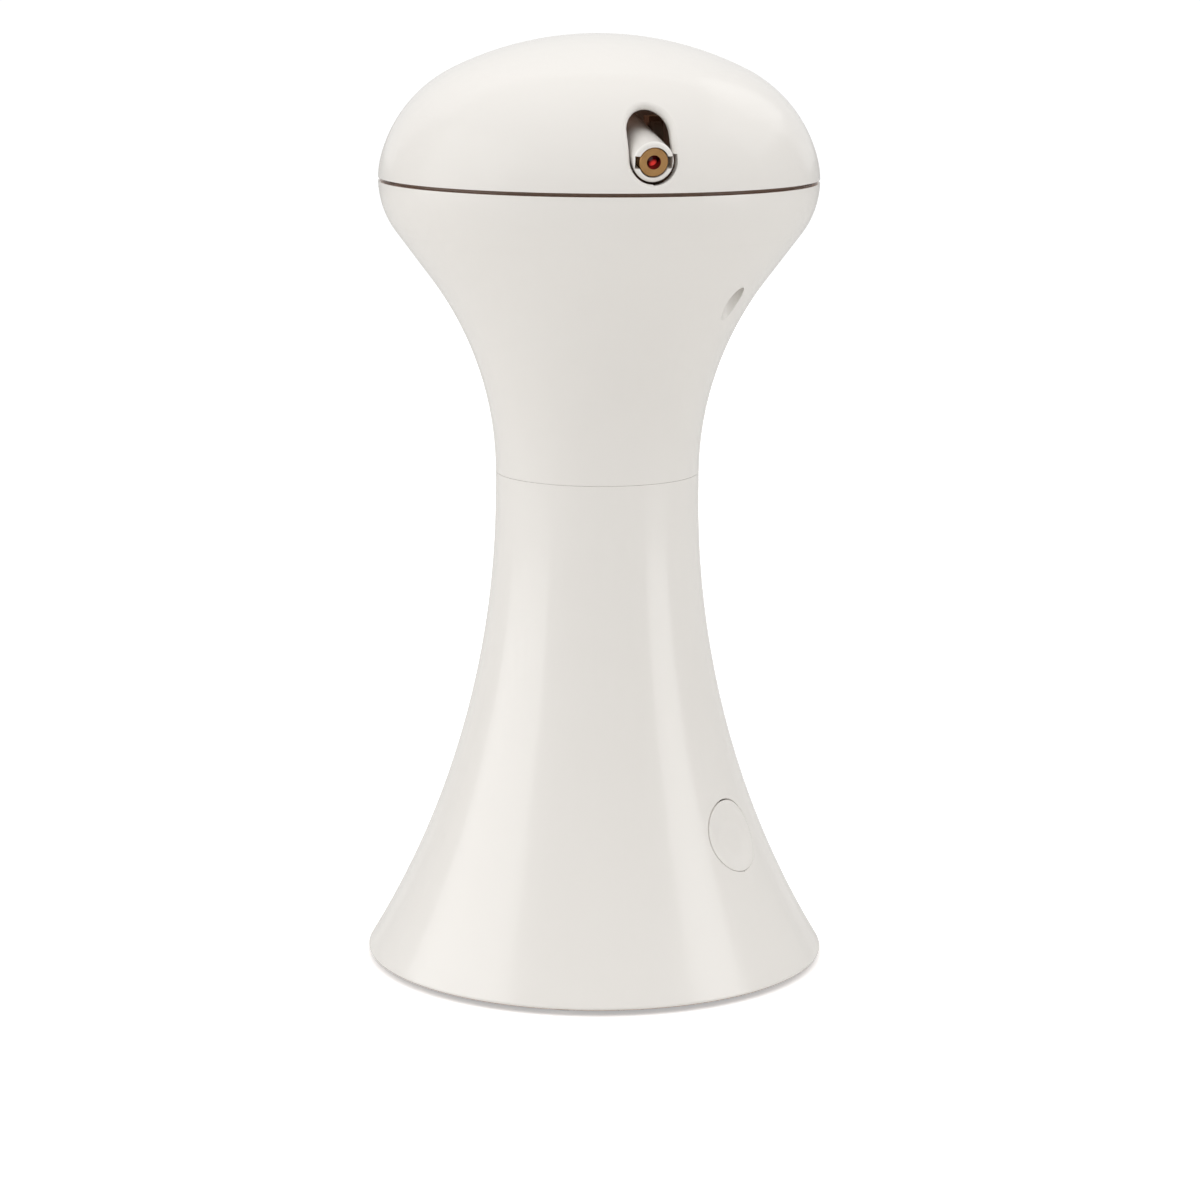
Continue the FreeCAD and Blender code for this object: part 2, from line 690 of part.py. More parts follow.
def make_base_plate():
    plate = turned("plate_disc", [
        ("0", "plate_low"), (flare_at("plate_low", "wall + seat_gap"), "plate_low"),
        (flare_at("plate_top", "wall + seat_gap"), "plate_top"), ("0", "plate_top")],
        {1: "-(flare_radius + wall + seat_gap)"})
    opening = rod("door_opening", "door_radius + seat_gap", "plate_low - overcut", "plate_top + overcut")
    under, over = "plate_low - overcut", "plate_top + overcut"
    notch = shared("notch_master", rod("notch_disc", "lug_radius + seat_gap", under, over),
                   block("notch_block", ("0", "-(lug_half_width + seat_gap)", under),
                         ("base_radius", "lug_half_width + seat_gap", over)))
    notches = ring_of("lug_notches", notch, [angle + value("door_twist") for angle in LUG_ANGLES])
    recess = rod("foot_recess_master", "foot_radius + lap_gap", under, "foot_top", "foot_circle")
    recesses = ring_of("foot_recesses", recess, [angle - 90 for angle in FOOT_ANGLES])
    shaft = rod("plate_shaft_master", "screw_hole", under, over, "boss_circle")
    sink = rod("plate_sink_master", "screw_head_radius + seat_gap", "plate_low - overcut",
               "base_screw_low", "boss_circle")
    screws = ring_of("plate_screw_holes", joined("plate_hole_and_sink", shaft, sink),
                     [angle - 90 for angle in BOSS_ANGLES])
    box_pilot = rod("box_pilot_master", "pilot_hole", "box_flange_top - box_screw_length - seat_gap",
                    "plate_top + overcut", "box_screw_circle")
    box_pilots = ring_of("box_pilots", box_pilot, BOX_SCREW_ANGLES)
    keep("base_plate", cut("base_plate_solid", plate, opening, notches, recesses, screws, box_pilots))


make_base_plate()

for number, angle in enumerate(FOOT_ANGLES, start=1):
    foot = turned(f"foot_{number}", [
        ("0", "0"), ("foot_radius - foot_bevel", "0"), ("foot_radius", "foot_bevel"),
        ("foot_radius", "foot_top"), ("0", "foot_top")])
    keep(f"rubber_foot_{number}", foot, FreeCAD.Placement(Vector(*around(value("foot_circle"), angle), 0),
                                                          FreeCAD.Rotation()))


def rounded_square(half, corner):
    """Corners and arcs of a square with rounded corners."""
    inner = f"{half} - {corner}"
    corners = [(f"-({inner})", f"-({half})"), (inner, f"-({half})"), (half, f"-({inner})"), (half, inner),
               (inner, half), (f"-({inner})", half), (f"-({half})", inner), (f"-({half})", f"-({inner})")]
    return corners, {1: corner, 3: corner, 5: corner, 7: corner}


def make_battery_box():
    corners, arcs = rounded_square("box_half", "box_corner")
    case = padded("box_case", "XY_Plane", corners, "box_top + box_wall - box_ceiling", arcs, "box_ceiling")
    hat = turned("box_hat", [
        ("0", "plate_top"), ("box_skirt_radius + box_flange", "plate_top"),
        ("box_skirt_radius + box_flange", "box_flange_top"), ("box_skirt_radius", "box_flange_top"),
        ("box_skirt_radius", "box_ceiling + box_roof"), ("0", "box_ceiling + box_roof")])
    mouth = rod("box_mouth_space", "box_mouth", "plate_top - overcut", "box_ceiling")
    bores = [rod(f"cell_bore_{number}", "cell_radius + cell_slack", "plate_top", "box_top",
                 f"{across} * cell_pitch", f"{along} * cell_pitch")
             for number, (across, along) in enumerate(CORNERS)]
    middle = block("box_middle", ("-contact_room", "-contact_room", "plate_top"),
                   ("contact_room", "contact_room", "box_top"))
    hole = rod("box_hole_master", "screw_hole", "plate_top - overcut", "box_flange_top + overcut",
               "box_screw_circle")
    holes = ring_of("box_holes", hole, BOX_SCREW_ANGLES)
    keep("battery_box", cut("battery_box_solid", joined("box_body", case, hat), mouth, middle, holes, *bores))


make_battery_box()

for number, (across, along) in enumerate(CORNERS, start=1):
    cell = turned(f"cell_{number}", [
        ("0", "0"), ("cell_radius - cell_bevel", "0"), ("cell_radius", "cell_bevel"),
        ("cell_radius", "cell_length - cell_bevel"), ("cell_radius - cell_bevel", "cell_length"),
        ("cell_nub_radius", "cell_length"),
        ("cell_nub_radius", "cell_length + cell_nub_height"), ("0", "cell_length + cell_nub_height")])
    upright = number % 2 == 0
    level = value("cell_low") if upright else value("cell_top")
    place = FreeCAD.Placement(Vector(across * value("cell_pitch"), along * value("cell_pitch"), level),
                              FreeCAD.Rotation(ACROSS, 0 if upright else 180))
    keep(f"aa_cell_{number}", cell, place)


def contact_strip(name, level, upward, along):
    """Flat strip over two cells with two slanted tongues that end near the cells."""
    lift = 1 if upward else -1
    outer = "cell_pitch + contact_width / 2"
    strip = block(name + "_strip", (f"-({outer})", "-contact_width / 2", f"{level} - contact_thickness / 2"),
                  (outer, "contact_width / 2", f"{level} + contact_thickness / 2"))
    tongues = []
    for number, side in enumerate((-1, 1)):
        start = f"{side} * (cell_pitch - tongue_start)"
        end = f"{side} * (cell_pitch + tongue_end)"
        tongues.append(padded(f"{name}_tongue_{number}", "XZ_Plane", [
            (start, level), (end, f"{level} + {lift} * (contact_reach - contact_thickness)"),
            (end, f"{level} + {lift} * contact_reach"), (start, f"{level} + {lift} * contact_thickness")],
            "contact_width / 2", middle=True))
    whole = joined(name, strip, *tongues)
    whole.Placement.Base = Vector(0, along, 0)
    return whole


def contact_pair(name, level, upward):
    return joined(name, *[contact_strip(f"{name}_{number}", level, upward, side * value("cell_pitch"))
                          for number, side in enumerate((-1, 1))])


keep("upper_contacts", contact_pair("upper_contact_pair", "box_top - contact_thickness / 2 - running_gap",
                                    False))


# Battery door: a bayonet disc that twists in the base plate

def make_battery_door():
    disc = turned("door_disc", [
        ("0", "plate_low"), ("door_radius", "plate_low"), ("door_radius", "lug_top"),
        ("door_radius - door_rim", "lug_top"), ("door_radius - door_rim", "plate_low + door_thickness"),
        ("0", "plate_low + door_thickness")])
    lug = shared("lug_master",
                 cut("lug_ring", rod("lug_disc", "lug_radius", "lug_low", "lug_top"),
                     rod("lug_inside", "door_radius - door_rim / 2", "lug_low - overcut",
                         "lug_top + overcut")),
                 block("lug_block", ("0", "-lug_half_width", "lug_low"),
                       ("lug_radius", "lug_half_width", "lug_top")))
    slot = block("coin_slot", ("-coin_slot_half_length", "-coin_slot_half_width", "plate_low - overcut"),
                 ("coin_slot_half_length", "coin_slot_half_width", "plate_low + coin_slot_depth"))
    keep("battery_door", cut("battery_door_solid",
                             joined("door_body", disc, ring_of("door_lugs", lug, LUG_ANGLES)), slot))
    keep("door_contacts", contact_pair("door_contact_pair",
                                       "plate_low + door_thickness + contact_thickness / 2", True))


make_battery_door()


# Fasteners

def upright_screws(node, low, shank, circle, angles):
    """Ring of screws that point up."""
    keep(node, ring_of(node + "_ring", screw(node + "_master", low, shank, circle), angles))


upright_screws("base_screws", "base_screw_low", "base_screw_length", "boss_circle",
               [angle - 90 for angle in BOSS_ANGLES])
upright_screws("waist_screws", "spigot_low - waist_floor", "waist_screw_length", "waist_boss_circle",
               WAIST_ANGLES)
upright_screws("deck_screws", "deck_low - tower_roof",
               "(tower_roof + deck_thickness + deck_boss_height - boss_cap - seat_gap)", "tower_circle",
               [angle - 90 for angle in TOWER_ANGLES])


def hung_screw(name, under_head, shank, circle, radius="screw_radius", head="screw_head_radius",
               height="screw_head_height"):
    """Pan-head screw that points down, with its head's underside at a level."""
    top = f"({under_head}) + {height}"
    body = turned(name, [
        ("0", f"({under_head}) - {shank}"), (radius, f"({under_head}) - {shank}"), (radius, under_head),
        (head, under_head), (head, top), ("0", top)])
    body.Placement.Base = Vector(value(circle), 0, 0)
    return body


keep("box_screws", ring_of("box_screw_group", hung_screw("box_screw", "box_flange_top", "box_screw_length",
                                                         "box_screw_circle"), BOX_SCREW_ANGLES))


# Power button, switch and control board

def wall_layer(name, outer_depth, inner_depth):
    """Layer of the flare between two depths below its surface."""
    return cut(name, base_form(name + "_outside", outer_depth), base_form(name + "_inside", inner_depth))


def make_power_button():
    flange_top = "wall + seat_gap / 2"
    flange_low = f"{flange_top} + button_flange_thickness"
    cap = shared("button_cap", wall_layer("button_skin", "0", flange_low),
                 button_rod("button_core", "button_radius", "-button_radius", "button_depth"))
    flange = shared("button_skirt", wall_layer("flange_layer", flange_top, flange_low),
                    button_rod("flange_core", "button_radius + button_flange", "0", "button_depth"))
    stem = button_rod("button_stem", "button_stem_radius", "wall", "button_depth")
    keep("power_button", joined("power_button_solid", cap, flange, stem))
    keep("switch_plunger", button_rod("plunger", "switch_plunger_radius", "button_depth + press_gap",
                                      "plunger_end"))


make_power_button()


def make_board():
    back = "-(board_depth + board_thickness)"
    board = block("board_plate", ("-board_half_width", "-board_half_height", back),
                  ("board_half_width", "board_half_height", "-board_depth"))
    holes = [rod(f"board_hole_{number}", "screw_hole", f"{back} - overcut", "overcut - board_depth",
                 str(across), str(up)) for number, (across, up) in enumerate(board_corners())]
    keep("control_board", cut("control_board_solid", board, *holes), button_place)
    case = block("switch_case", ("-switch_body_half", "-switch_body_half", "-board_depth"),
                 ("switch_body_half", "switch_body_half", "switch_body_height - board_depth"))
    well = rod("switch_well", "switch_plunger_radius + running_gap",
               "-(plunger_end + switch_travel)", "overcut - button_depth")
    keep("tact_switch", cut("tact_switch_solid", case, well), button_place)
    screws = []
    for number, (across, up) in enumerate(board_corners()):
        one = screw(f"board_screw_{number}", back, "board_screw_length")
        one.Placement.Base = Vector(across, up, 0)
        screws.append(one)
    keep("board_screws", joined("board_screw_group", *screws), button_place)


make_board()


# Gear deck: disc, hollow spindle post and bosses

def make_gear_deck():
    disc = rod("deck_disc", "deck_radius", "deck_low", "deck_top")
    post = turned("spindle_post", [
        ("0", "deck_low"), ("spindle_radius + spindle_collar", "deck_low"),
        ("spindle_radius + spindle_collar", "upper_gear_low - thrust_gap"),
        ("spindle_radius", "upper_gear_low - thrust_gap"), ("spindle_radius", "clip_low"),
        ("spindle_radius - groove_depth", "clip_low"),
        ("spindle_radius - groove_depth", "clip_low + clip_thickness + running_gap"),
        ("spindle_radius", "clip_low + clip_thickness + running_gap"), ("spindle_radius", "spindle_top"),
        ("0", "spindle_top")])
    middle = "deck_low + deck_thickness / 2"
    boss = rod("deck_boss_master", "boss_radius", middle, "deck_top + deck_boss_height", "tower_circle")
    bosses = ring_of("deck_bosses", boss, [angle - 90 for angle in TOWER_ANGLES])
    axle_boss = rod("axle_boss", "axle_radius + post_wall", middle, "lower_gear_low - seat_gap",
                    "idler_reach")
    body = joined("deck_body", disc, post, bosses, axle_boss)
    bore = rod("spindle_wire_bore", "spindle_bore", "deck_low - overcut", "drum_top + overcut")
    pilots = ring_of("deck_pilots", rod("deck_pilot_master", "pilot_hole", "deck_low - overcut",
                                        "deck_top + deck_boss_height - boss_cap", "tower_circle"),
                     [angle - 90 for angle in TOWER_ANGLES])
    axle_hole = rod("axle_hole", "axle_radius", "deck_low - overcut", "lower_gear_low", "idler_reach")
    nose = rod("motor_nose_hole", "motor_nose_radius + lap_gap", "deck_low - overcut", "deck_top + overcut",
               "motor_across", "motor_along")
    holes = [rod(f"motor_screw_hole_{number}", "motor_screw_radius + screw_play", "deck_low - overcut",
                 "deck_top + overcut", f"motor_across + {side} * motor_side_across",
                 f"motor_along + {side} * motor_side_along")
             for number, side in enumerate((-1, 1))]
    keep("gear_deck", cut("gear_deck_solid", body, bore, pilots, axle_hole, nose, *holes))
    keep("idler_axle", rod("idler_axle_rod", "axle_radius", "deck_low", "carrier_low - 2 * seat_gap",
                           "idler_reach"))


make_gear_deck()


def make_motor():
    can = turned("motor_can", [
        ("0", "motor_low"), ("motor_radius - motor_bevel", "motor_low"),
        ("motor_radius", "motor_low + motor_bevel"), ("motor_radius", "deck_low"),
        ("motor_nose_radius", "deck_low"), ("motor_nose_radius", "deck_top - motor_nose_drop"),
        ("0", "deck_top - motor_nose_drop")])
    bore = rod("motor_bore", "axle_radius + running_gap", "deck_low - shaft_depth - seat_gap",
               "deck_top + overcut")
    threads = [rod(f"motor_thread_{number}", "motor_screw_radius + running_gap",
                   "deck_low - motor_screw_grip - seat_gap", "deck_low + overcut",
                   f"{side} * motor_side_across", f"{side} * motor_side_along")
               for number, side in enumerate((-1, 1))]
    place = FreeCAD.Placement(Vector(value("motor_across"), value("motor_along"), 0), FreeCAD.Rotation())
    keep("motor", cut("motor_solid", can, bore, *threads), place)
    screws = []
    for number, side in enumerate((-1, 1)):
        one = hung_screw(f"motor_screw_{number}", "deck_top", "(deck_thickness + motor_screw_grip)", "0",
                         "motor_screw_radius", "motor_head_radius", "motor_head_height")
        one.Placement.Base = Vector(side * value("motor_side_across"), side * value("motor_side_along"), 0)
        screws.append(one)
    keep("motor_screws", joined("motor_screw_group", *screws), place)
    keep("motor_shaft", rod("motor_shaft_rod", "axle_radius", "deck_low - shaft_depth",
                            "lower_gear_top + pinion_overhang + lap_gap", "motor_across", "motor_along"))


make_motor()


# Gears

def gear_teeth(teeth, module, low, high, bore, phase=0.0):
    """Spur gear with involute flanks drawn as arcs; a tooth is centred at the phase angle."""
    pitch = module * teeth / 2
    tip = pitch + ADDENDUM * module
    root = pitch - DEDENDUM * module
    base = pitch * math.cos(PRESSURE_ANGLE)
    start = max(base, root)
    has_foot = base > root

    def spread(radius):
        """Half the tooth's angle at a radius."""
        roll = math.acos(min(base / radius, 1))
        at_pitch = math.pi / (2 * teeth) - value("tooth_play") / (4 * pitch)
        flank = math.tan(PRESSURE_ANGLE) - PRESSURE_ANGLE - (math.tan(roll) - roll)
        return at_pitch + flank

    def point(radius, angle):
        return Vector(radius * math.cos(angle), radius * math.sin(angle), low)

    edges = []
    middle = (start + tip) / 2
    step = 2 * math.pi / teeth
    for number in range(teeth):
        centre = math.radians(phase) + number * step
        foot_up, foot_down = point(root, centre - spread(start)), point(root, centre + spread(start))
        low_up, low_down = point(start, centre - spread(start)), point(start, centre + spread(start))
        top_up, top_down = point(tip, centre - spread(tip)), point(tip, centre + spread(tip))
        if has_foot:
            edges.append(Part.LineSegment(foot_up, low_up).toShape())
        edges.append(Part.Arc(low_up, point(middle, centre - spread(middle)), top_up).toShape())
        edges.append(Part.Arc(top_up, point(tip, centre), top_down).toShape())
        edges.append(Part.Arc(top_down, point(middle, centre + spread(middle)), low_down).toShape())
        if has_foot:
            edges.append(Part.LineSegment(low_down, foot_down).toShape())
        following = point(root, centre + step - spread(start))
        last = foot_down if has_foot else low_down
        edges.append(Part.Arc(last, point(root, centre + step / 2), following).toShape())
    outline = Part.Wire(edges)
    wheel = Part.Face(outline).extrude(Vector(0, 0, high - low))
    return wheel.cut(Part.makeCylinder(bore, high - low, Vector(0, 0, low)))


def make_gears():
    drive_teeth = round(value("drive_teeth"))
    small_teeth = round(value("idler_small_teeth"))
    large_teeth = round(value("idler_large_teeth"))
    pinion_teeth = round(value("pinion_teeth"))
    drive_module = value("drive_module")
    drive = gear_teeth(drive_teeth, drive_module, value("upper_gear_low"), value("upper_gear_top"),
                       value("hub_radius + press_gap"))
    reach = value("idler_reach")
    bore = value("axle_radius + running_gap")
    small = gear_teeth(small_teeth, drive_module, value("lower_gear_top"), value("upper_gear_top"), bore,
                       180 + 180 / small_teeth)
    mesh_angle = math.degrees(math.atan2(value("motor_along"), value("motor_across") - reach))
    large = gear_teeth(large_teeth, value("motor_module"), value("lower_gear_low"),
                       value("lower_gear_top"), bore, mesh_angle)
    idler = large.fuse(small).removeSplitter()
    pinion = gear_teeth(pinion_teeth, value("motor_module"), value("lower_gear_low - pinion_overhang"),
                        value("lower_gear_top + pinion_overhang"), value("axle_radius"),
                        mesh_angle + 180 + 180 / pinion_teeth)
    keep("dome_gear", solid_group("dome_gear_solid", [drive]))
    keep("idler_gear", solid_group("idler_gear_solid", [idler]),
         FreeCAD.Placement(Vector(reach, 0, 0), FreeCAD.Rotation()))
    keep("motor_pinion", solid_group("motor_pinion_solid", [pinion]),
         FreeCAD.Placement(Vector(value("motor_across"), value("motor_along"), 0), FreeCAD.Rotation()))


make_gears()


# Slip rings and the clip that holds the dome on its spindle

def make_slip_rings():
    levels = [("lower_ring_level - ring_height / 2", "lower_ring_level + ring_height / 2"),
              ("upper_ring_level - ring_height / 2", "upper_ring_level + ring_height / 2")]
    drum = rod("drum_body", "drum_radius", "drum_low", "drum_top")
    core = rod("drum_core", "spindle_radius + press_gap", "drum_low - overcut", "spindle_top")
    bands = [cut(f"ring_band_{number}", rod(f"ring_outside_{number}", "drum_radius", low, high),
                 rod(f"ring_inside_{number}", "ring_radius", f"{low} - overcut", f"{high} + overcut"))
             for number, (low, high) in enumerate(levels)]
    bands_together = joined("slip_ring_pair", *bands)
    keep("slip_ring_drum", cut("slip_ring_drum_solid", drum, core, bands_together))
    keep("slip_rings", solid_copy("slip_rings_solid", bands_together))
    clip = cut("clip_ring", rod("clip_outside", "hub_radius", "clip_low", "clip_low + clip_thickness"),
               rod("clip_inside", "spindle_radius - groove_depth + running_gap",
                   "clip_low - overcut", "drum_low"),
               block("clip_mouth", ("-clip_half_mouth", "0", "clip_low - overcut"),
                     ("clip_half_mouth", "hub_radius + overcut", "drum_low")))
    keep("retaining_clip", clip)


make_slip_rings()


# Turning carrier with the ears that hold the lasers

dome_place = turn(value("slot_azimuth"))


def cross_rod(name, radius, reach):
    """Cylinder across the laser's pivot, from side to side."""
    shape = doc.addObject("Part::Cylinder", name)
    shape.setExpression("Radius", bound(radius))
    shape.setExpression("Height", bound(f"2 * ({reach})"))
    shape.Placement = FreeCAD.Placement(
        Vector(-value(reach), -value("pivot_reach"), value("pivot_level")),
        FreeCAD.Rotation(Vector(0, 1, 0), 90))
    return shape


def make_carrier():
    disc = turned("carrier_disc", [
        ("0", "upper_gear_low"), ("hub_radius", "upper_gear_low"), ("hub_radius", "upper_gear_top"),
        ("hub_radius + hub_step", "upper_gear_top"), ("hub_radius + hub_step", "carrier_low"),
        ("carrier_radius", "carrier_low"), ("carrier_radius", "carrier_top"), ("hub_radius", "carrier_top"),
        ("hub_radius", "hub_top"), ("0", "hub_top")])
    root = "carrier_low + carrier_thickness / 2"
    near, far = "-(pivot_reach - ear_half_width)", "-(pivot_reach + ear_half_width)"
    ears = padded("ear_pair", "YZ_Plane", [
        (far, root), (near, root), (near, "pivot_level"),
        ("-pivot_reach", "pivot_level + ear_half_width"), (far, "pivot_level")],
        "2 * ear_outer", {2: "ear_half_width", 3: "ear_half_width"}, middle=True)
    space = block("ear_space", ("-ear_inner", "-(pivot_reach + 2 * ear_half_width)", "carrier_top"),
                  ("ear_inner", "-(pivot_reach - 2 * ear_half_width)",
                   "pivot_level + ear_half_width + overcut"))
    hole = cross_rod("ear_hole", "trunnion_radius + running_gap", "ear_outer + overcut")
    ear_set = ring_of("ears", cut("ears_drilled", ears, space, hole), LASER_TURNS)
    bore = rod("hub_bore", "spindle_radius + running_gap", "upper_gear_low - overcut", "hub_top + overcut")
    holes = ring_of("carrier_holes", rod("carrier_hole_master", "screw_hole", "carrier_low - overcut",
                                         "carrier_top + overcut", "dome_boss_circle"), DOME_BOSS_ANGLES)
    keep("carrier", cut("carrier_solid", joined("carrier_body", disc, ear_set), bore, holes), dome_place)


make_carrier()


def make_brushes():
    strips = [block(f"brush_{number}", ("drum_radius + lap_gap", "-brush_half_thickness",
                                        f"{level} - brush_half_width"),
                    ("brush_post_outer + brush_tail", "brush_half_thickness", f"{level} + brush_half_width"))
              for number, level in enumerate(("lower_ring_level", "upper_ring_level"))]
    pair = joined("brush_pair", *strips)
    post = block("brush_post", ("brush_post_inner", "-brush_post_half_width", "carrier_top"),
                 ("brush_post_outer", "brush_post_half_width", "drum_top"))
    keep("brush_holder", cut("brush_holder_solid", post, pair), dome_place)
    keep("brush_contacts", solid_copy("brush_contacts_solid", pair), dome_place)


make_brushes()


# Dome with its lip, screw bosses and laser slots

def dome_core(name):
    """Space under the middle of the dome's wall, down to the carrier."""
    return joined(name, dome_form(name + "_top", "wall / 2"),
                  rod(name + "_foot", "lip_radius - lip_wall / 2", "carrier_top", "dome_edge"))


def make_dome_shell():
    outer = dome_form("dome_outer", "0")
    wall = cut("dome_wall", outer, dome_form("dome_inner", "wall"))
    low_bend = "dome_seam + slot_low + slot_half_width"
    high_bend = "dome_seam + slot_high - slot_half_width"
    slot = padded("slot_cutter", "XZ_Plane", [
        ("-slot_half_width", low_bend), ("0", "dome_seam + slot_low"), ("slot_half_width", low_bend),
        ("slot_half_width", high_bend), ("0", "dome_seam + slot_high"), ("-slot_half_width", high_bend)],
        "2 * (rim_radius + overcut)", {side: "slot_half_width" for side in (0, 1, 3, 4)}, middle=True)
    slotted = cut("dome_slotted", wall, slot)

    def on_lip(edge):
        """Test for the slots' edges on the outer surface."""
        middle = edge.valueAt((edge.FirstParameter + edge.LastParameter) / 2)
        depth = Part.Vertex(middle).distToShape(outer.Shape.Shells[0])[0]
        return depth < TOUCH and abs(middle.x) < value("slot_half_width") + TOUCH

    soft = rounded_edges("dome_softened", slotted, value("slot_round"), on_lip)
    outer_corner = "slot_half_width + slot_notch_width"
    low = "dome_seam + slot_low - slot_notch_drop"
    notch = padded("slot_notch", "XZ_Plane", [
        ("0", low), (outer_corner, f"{low} + {outer_corner}"), (outer_corner, "dome_seam + slot_notch_top"),
        ("0", "dome_seam + slot_notch_top")], "rim_radius", {0: outer_corner})
    lip = turned("dome_lip", [
        ("lip_radius - lip_wall", "dome_edge - lip_depth"), ("lip_radius", "dome_edge - lip_depth"),
        ("lip_radius", "dome_edge"), ("lip_radius + wall / 2", "dome_edge"),
        ("lip_radius + wall / 2", "dome_edge + lip_root"), ("lip_radius - lip_wall", "dome_edge + lip_root")])
    boss = rod("dome_boss_master", "dome_boss_radius", "carrier_top", "dome_top", "dome_boss_circle")
    bosses = shared("dome_bosses", ring_of("dome_boss_set", boss, DOME_BOSS_ANGLES),
                    dome_core("dome_core"))
    pilots = ring_of("dome_pilots", rod("dome_pilot_master", "pilot_hole", "carrier_top - overcut",
                                        "carrier_top + dome_screw_reach + pilot_spare", "dome_boss_circle"),
                     DOME_BOSS_ANGLES)
    body = joined("dome_body", soft, lip, bosses)
    notches = ring_of("slot_notches", notch, LASER_TURNS)
    keep("dome_shell", cut("dome_shell_solid", body, notches, pilots), dome_place)
    keep("dome_screws", ring_of("dome_screw_group", screw("dome_screw", "carrier_low",
                                                          "(carrier_thickness + dome_screw_reach)",
                                                          "dome_boss_circle"), DOME_BOSS_ANGLES), dome_place)


make_dome_shell()


# Lasers: a tilting barrel with its brass module, lens and board

def laser_place(turned_by):
    """Placement of a laser's own frame: +Z along its beam, origin at its pivot."""
    pivot = Vector(0, -value("pivot_reach"), value("pivot_level"))
    aim = FreeCAD.Rotation(ACROSS, 90 + value("barrel_dip"))
    return dome_place.multiply(turn(turned_by)).multiply(FreeCAD.Placement(pivot, aim))


def make_laser(number, turned_by):
    place = laser_place(turned_by)
    skin = turned(f"barrel_skin_{number}", [
        ("0", "-barrel_tail"), ("barrel_radius", "-barrel_tail"),
        ("barrel_radius", "barrel_length - barrel_round"),
        ("barrel_radius - barrel_round", "barrel_length"), ("0", "barrel_length")], {2: "barrel_round"})
    trunnion = doc.addObject("Part::Cylinder", f"trunnion_{number}")
    trunnion.setExpression("Radius", bound("trunnion_radius"))
    trunnion.setExpression("Height", bound("2 * ear_outer"))
    trunnion.Placement = FreeCAD.Placement(Vector(-value("ear_outer"), 0, 0),
                                           FreeCAD.Rotation(Vector(0, 1, 0), 90))
    socket = rod(f"module_socket_{number}", "module_radius + module_gap", "module_back",
                 "barrel_length + overcut")
    wires = rod(f"wire_bore_{number}", "module_radius - socket_step", "-(barrel_tail + overcut)",
                "module_back + overcut")
    reach = "module_radius + module_gap + key_depth"
    keys = block(f"key_slots_{number}", (f"-({reach})", "-key_height / 2", "barrel_length - key_length"),
                 (reach, "key_height / 2", "barrel_length + overcut"))
    body = joined(f"barrel_body_{number}", skin, trunnion)
    keep(f"laser_barrel_{number}", cut(f"laser_barrel_solid_{number}", body, socket, wires, keys), place)
    module = turned(f"module_{number}", [
        ("0", "module_back"), ("module_radius", "module_back"),
        ("module_radius", "module_front - module_bevel"),
        ("module_radius - module_bevel", "module_front"), ("aperture_radius", "module_front"),
        ("aperture_radius", "module_front - aperture_depth"), ("0", "module_front - aperture_depth")])
    keep(f"laser_module_{number}", module, place)
    seat = "module_front - aperture_depth"
    lens = turned(f"lens_{number}", [
        ("0", seat), ("lens_radius", seat), ("lens_radius", f"{seat} + lens_edge"),
        ("0", f"{seat} + lens_thickness")], {2: "lens_round"})
    keep(f"laser_lens_{number}", lens, place)
    board = block(f"driver_board_{number}", ("-laser_board_half_width", "-laser_board_half_thickness",
                                             "module_back - laser_board_length"),
                  ("laser_board_half_width", "laser_board_half_thickness", "module_back"))
    keep(f"laser_board_{number}", solid_copy(f"laser_board_solid_{number}", board), place)


for laser_number, laser_turn in enumerate(LASER_TURNS, start=1):
    make_laser(laser_number, laser_turn)


# Checks and export

doc.recompute()
for item in doc.Objects:
    if "Invalid" in item.State or "Error" in item.State:
        raise RuntimeError(f"{item.Name} failed: {item.State}")
for piece in pieces:
    if piece.Shape.isNull() or not piece.Shape.isValid() or piece.Shape.Volume <= 0:
        raise RuntimeError(f"{piece.Label} has no valid solid")
os.makedirs("parts", exist_ok=True)
for piece in pieces:
    piece.Shape.exportStep(os.path.join("parts", piece.Label + ".step"))
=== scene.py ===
import json
import math

import bmesh
import bpy
from mathutils import Matrix, Vector, kdtree


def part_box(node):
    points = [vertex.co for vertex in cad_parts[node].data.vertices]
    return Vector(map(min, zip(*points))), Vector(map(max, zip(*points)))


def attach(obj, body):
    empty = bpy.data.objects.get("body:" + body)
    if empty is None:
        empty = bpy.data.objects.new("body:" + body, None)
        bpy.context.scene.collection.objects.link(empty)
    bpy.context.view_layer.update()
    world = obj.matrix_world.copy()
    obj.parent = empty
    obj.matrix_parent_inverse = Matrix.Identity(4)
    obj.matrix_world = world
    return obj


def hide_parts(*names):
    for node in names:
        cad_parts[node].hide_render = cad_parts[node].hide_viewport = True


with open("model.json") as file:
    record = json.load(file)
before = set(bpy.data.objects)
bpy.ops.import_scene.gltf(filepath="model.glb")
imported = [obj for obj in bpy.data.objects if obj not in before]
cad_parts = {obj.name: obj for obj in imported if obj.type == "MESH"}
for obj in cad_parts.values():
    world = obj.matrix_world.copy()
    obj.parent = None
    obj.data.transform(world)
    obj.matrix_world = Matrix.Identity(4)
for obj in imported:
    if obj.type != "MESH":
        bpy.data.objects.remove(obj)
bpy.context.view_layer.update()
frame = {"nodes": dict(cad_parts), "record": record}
nodes = frame["nodes"]
record = frame["record"]
joints = {joint["name"]: joint for joint in record["behaviour"]["joints"]}
node_bodies = {node: body for body, members in record["behaviour"]["bodies"].items() for node in members}
node_slots = {part["node"]: part["material_slot"] for part in record["subparts"]}

# Lengths are in metres, angles in radians, and colours are linear red, green and blue.

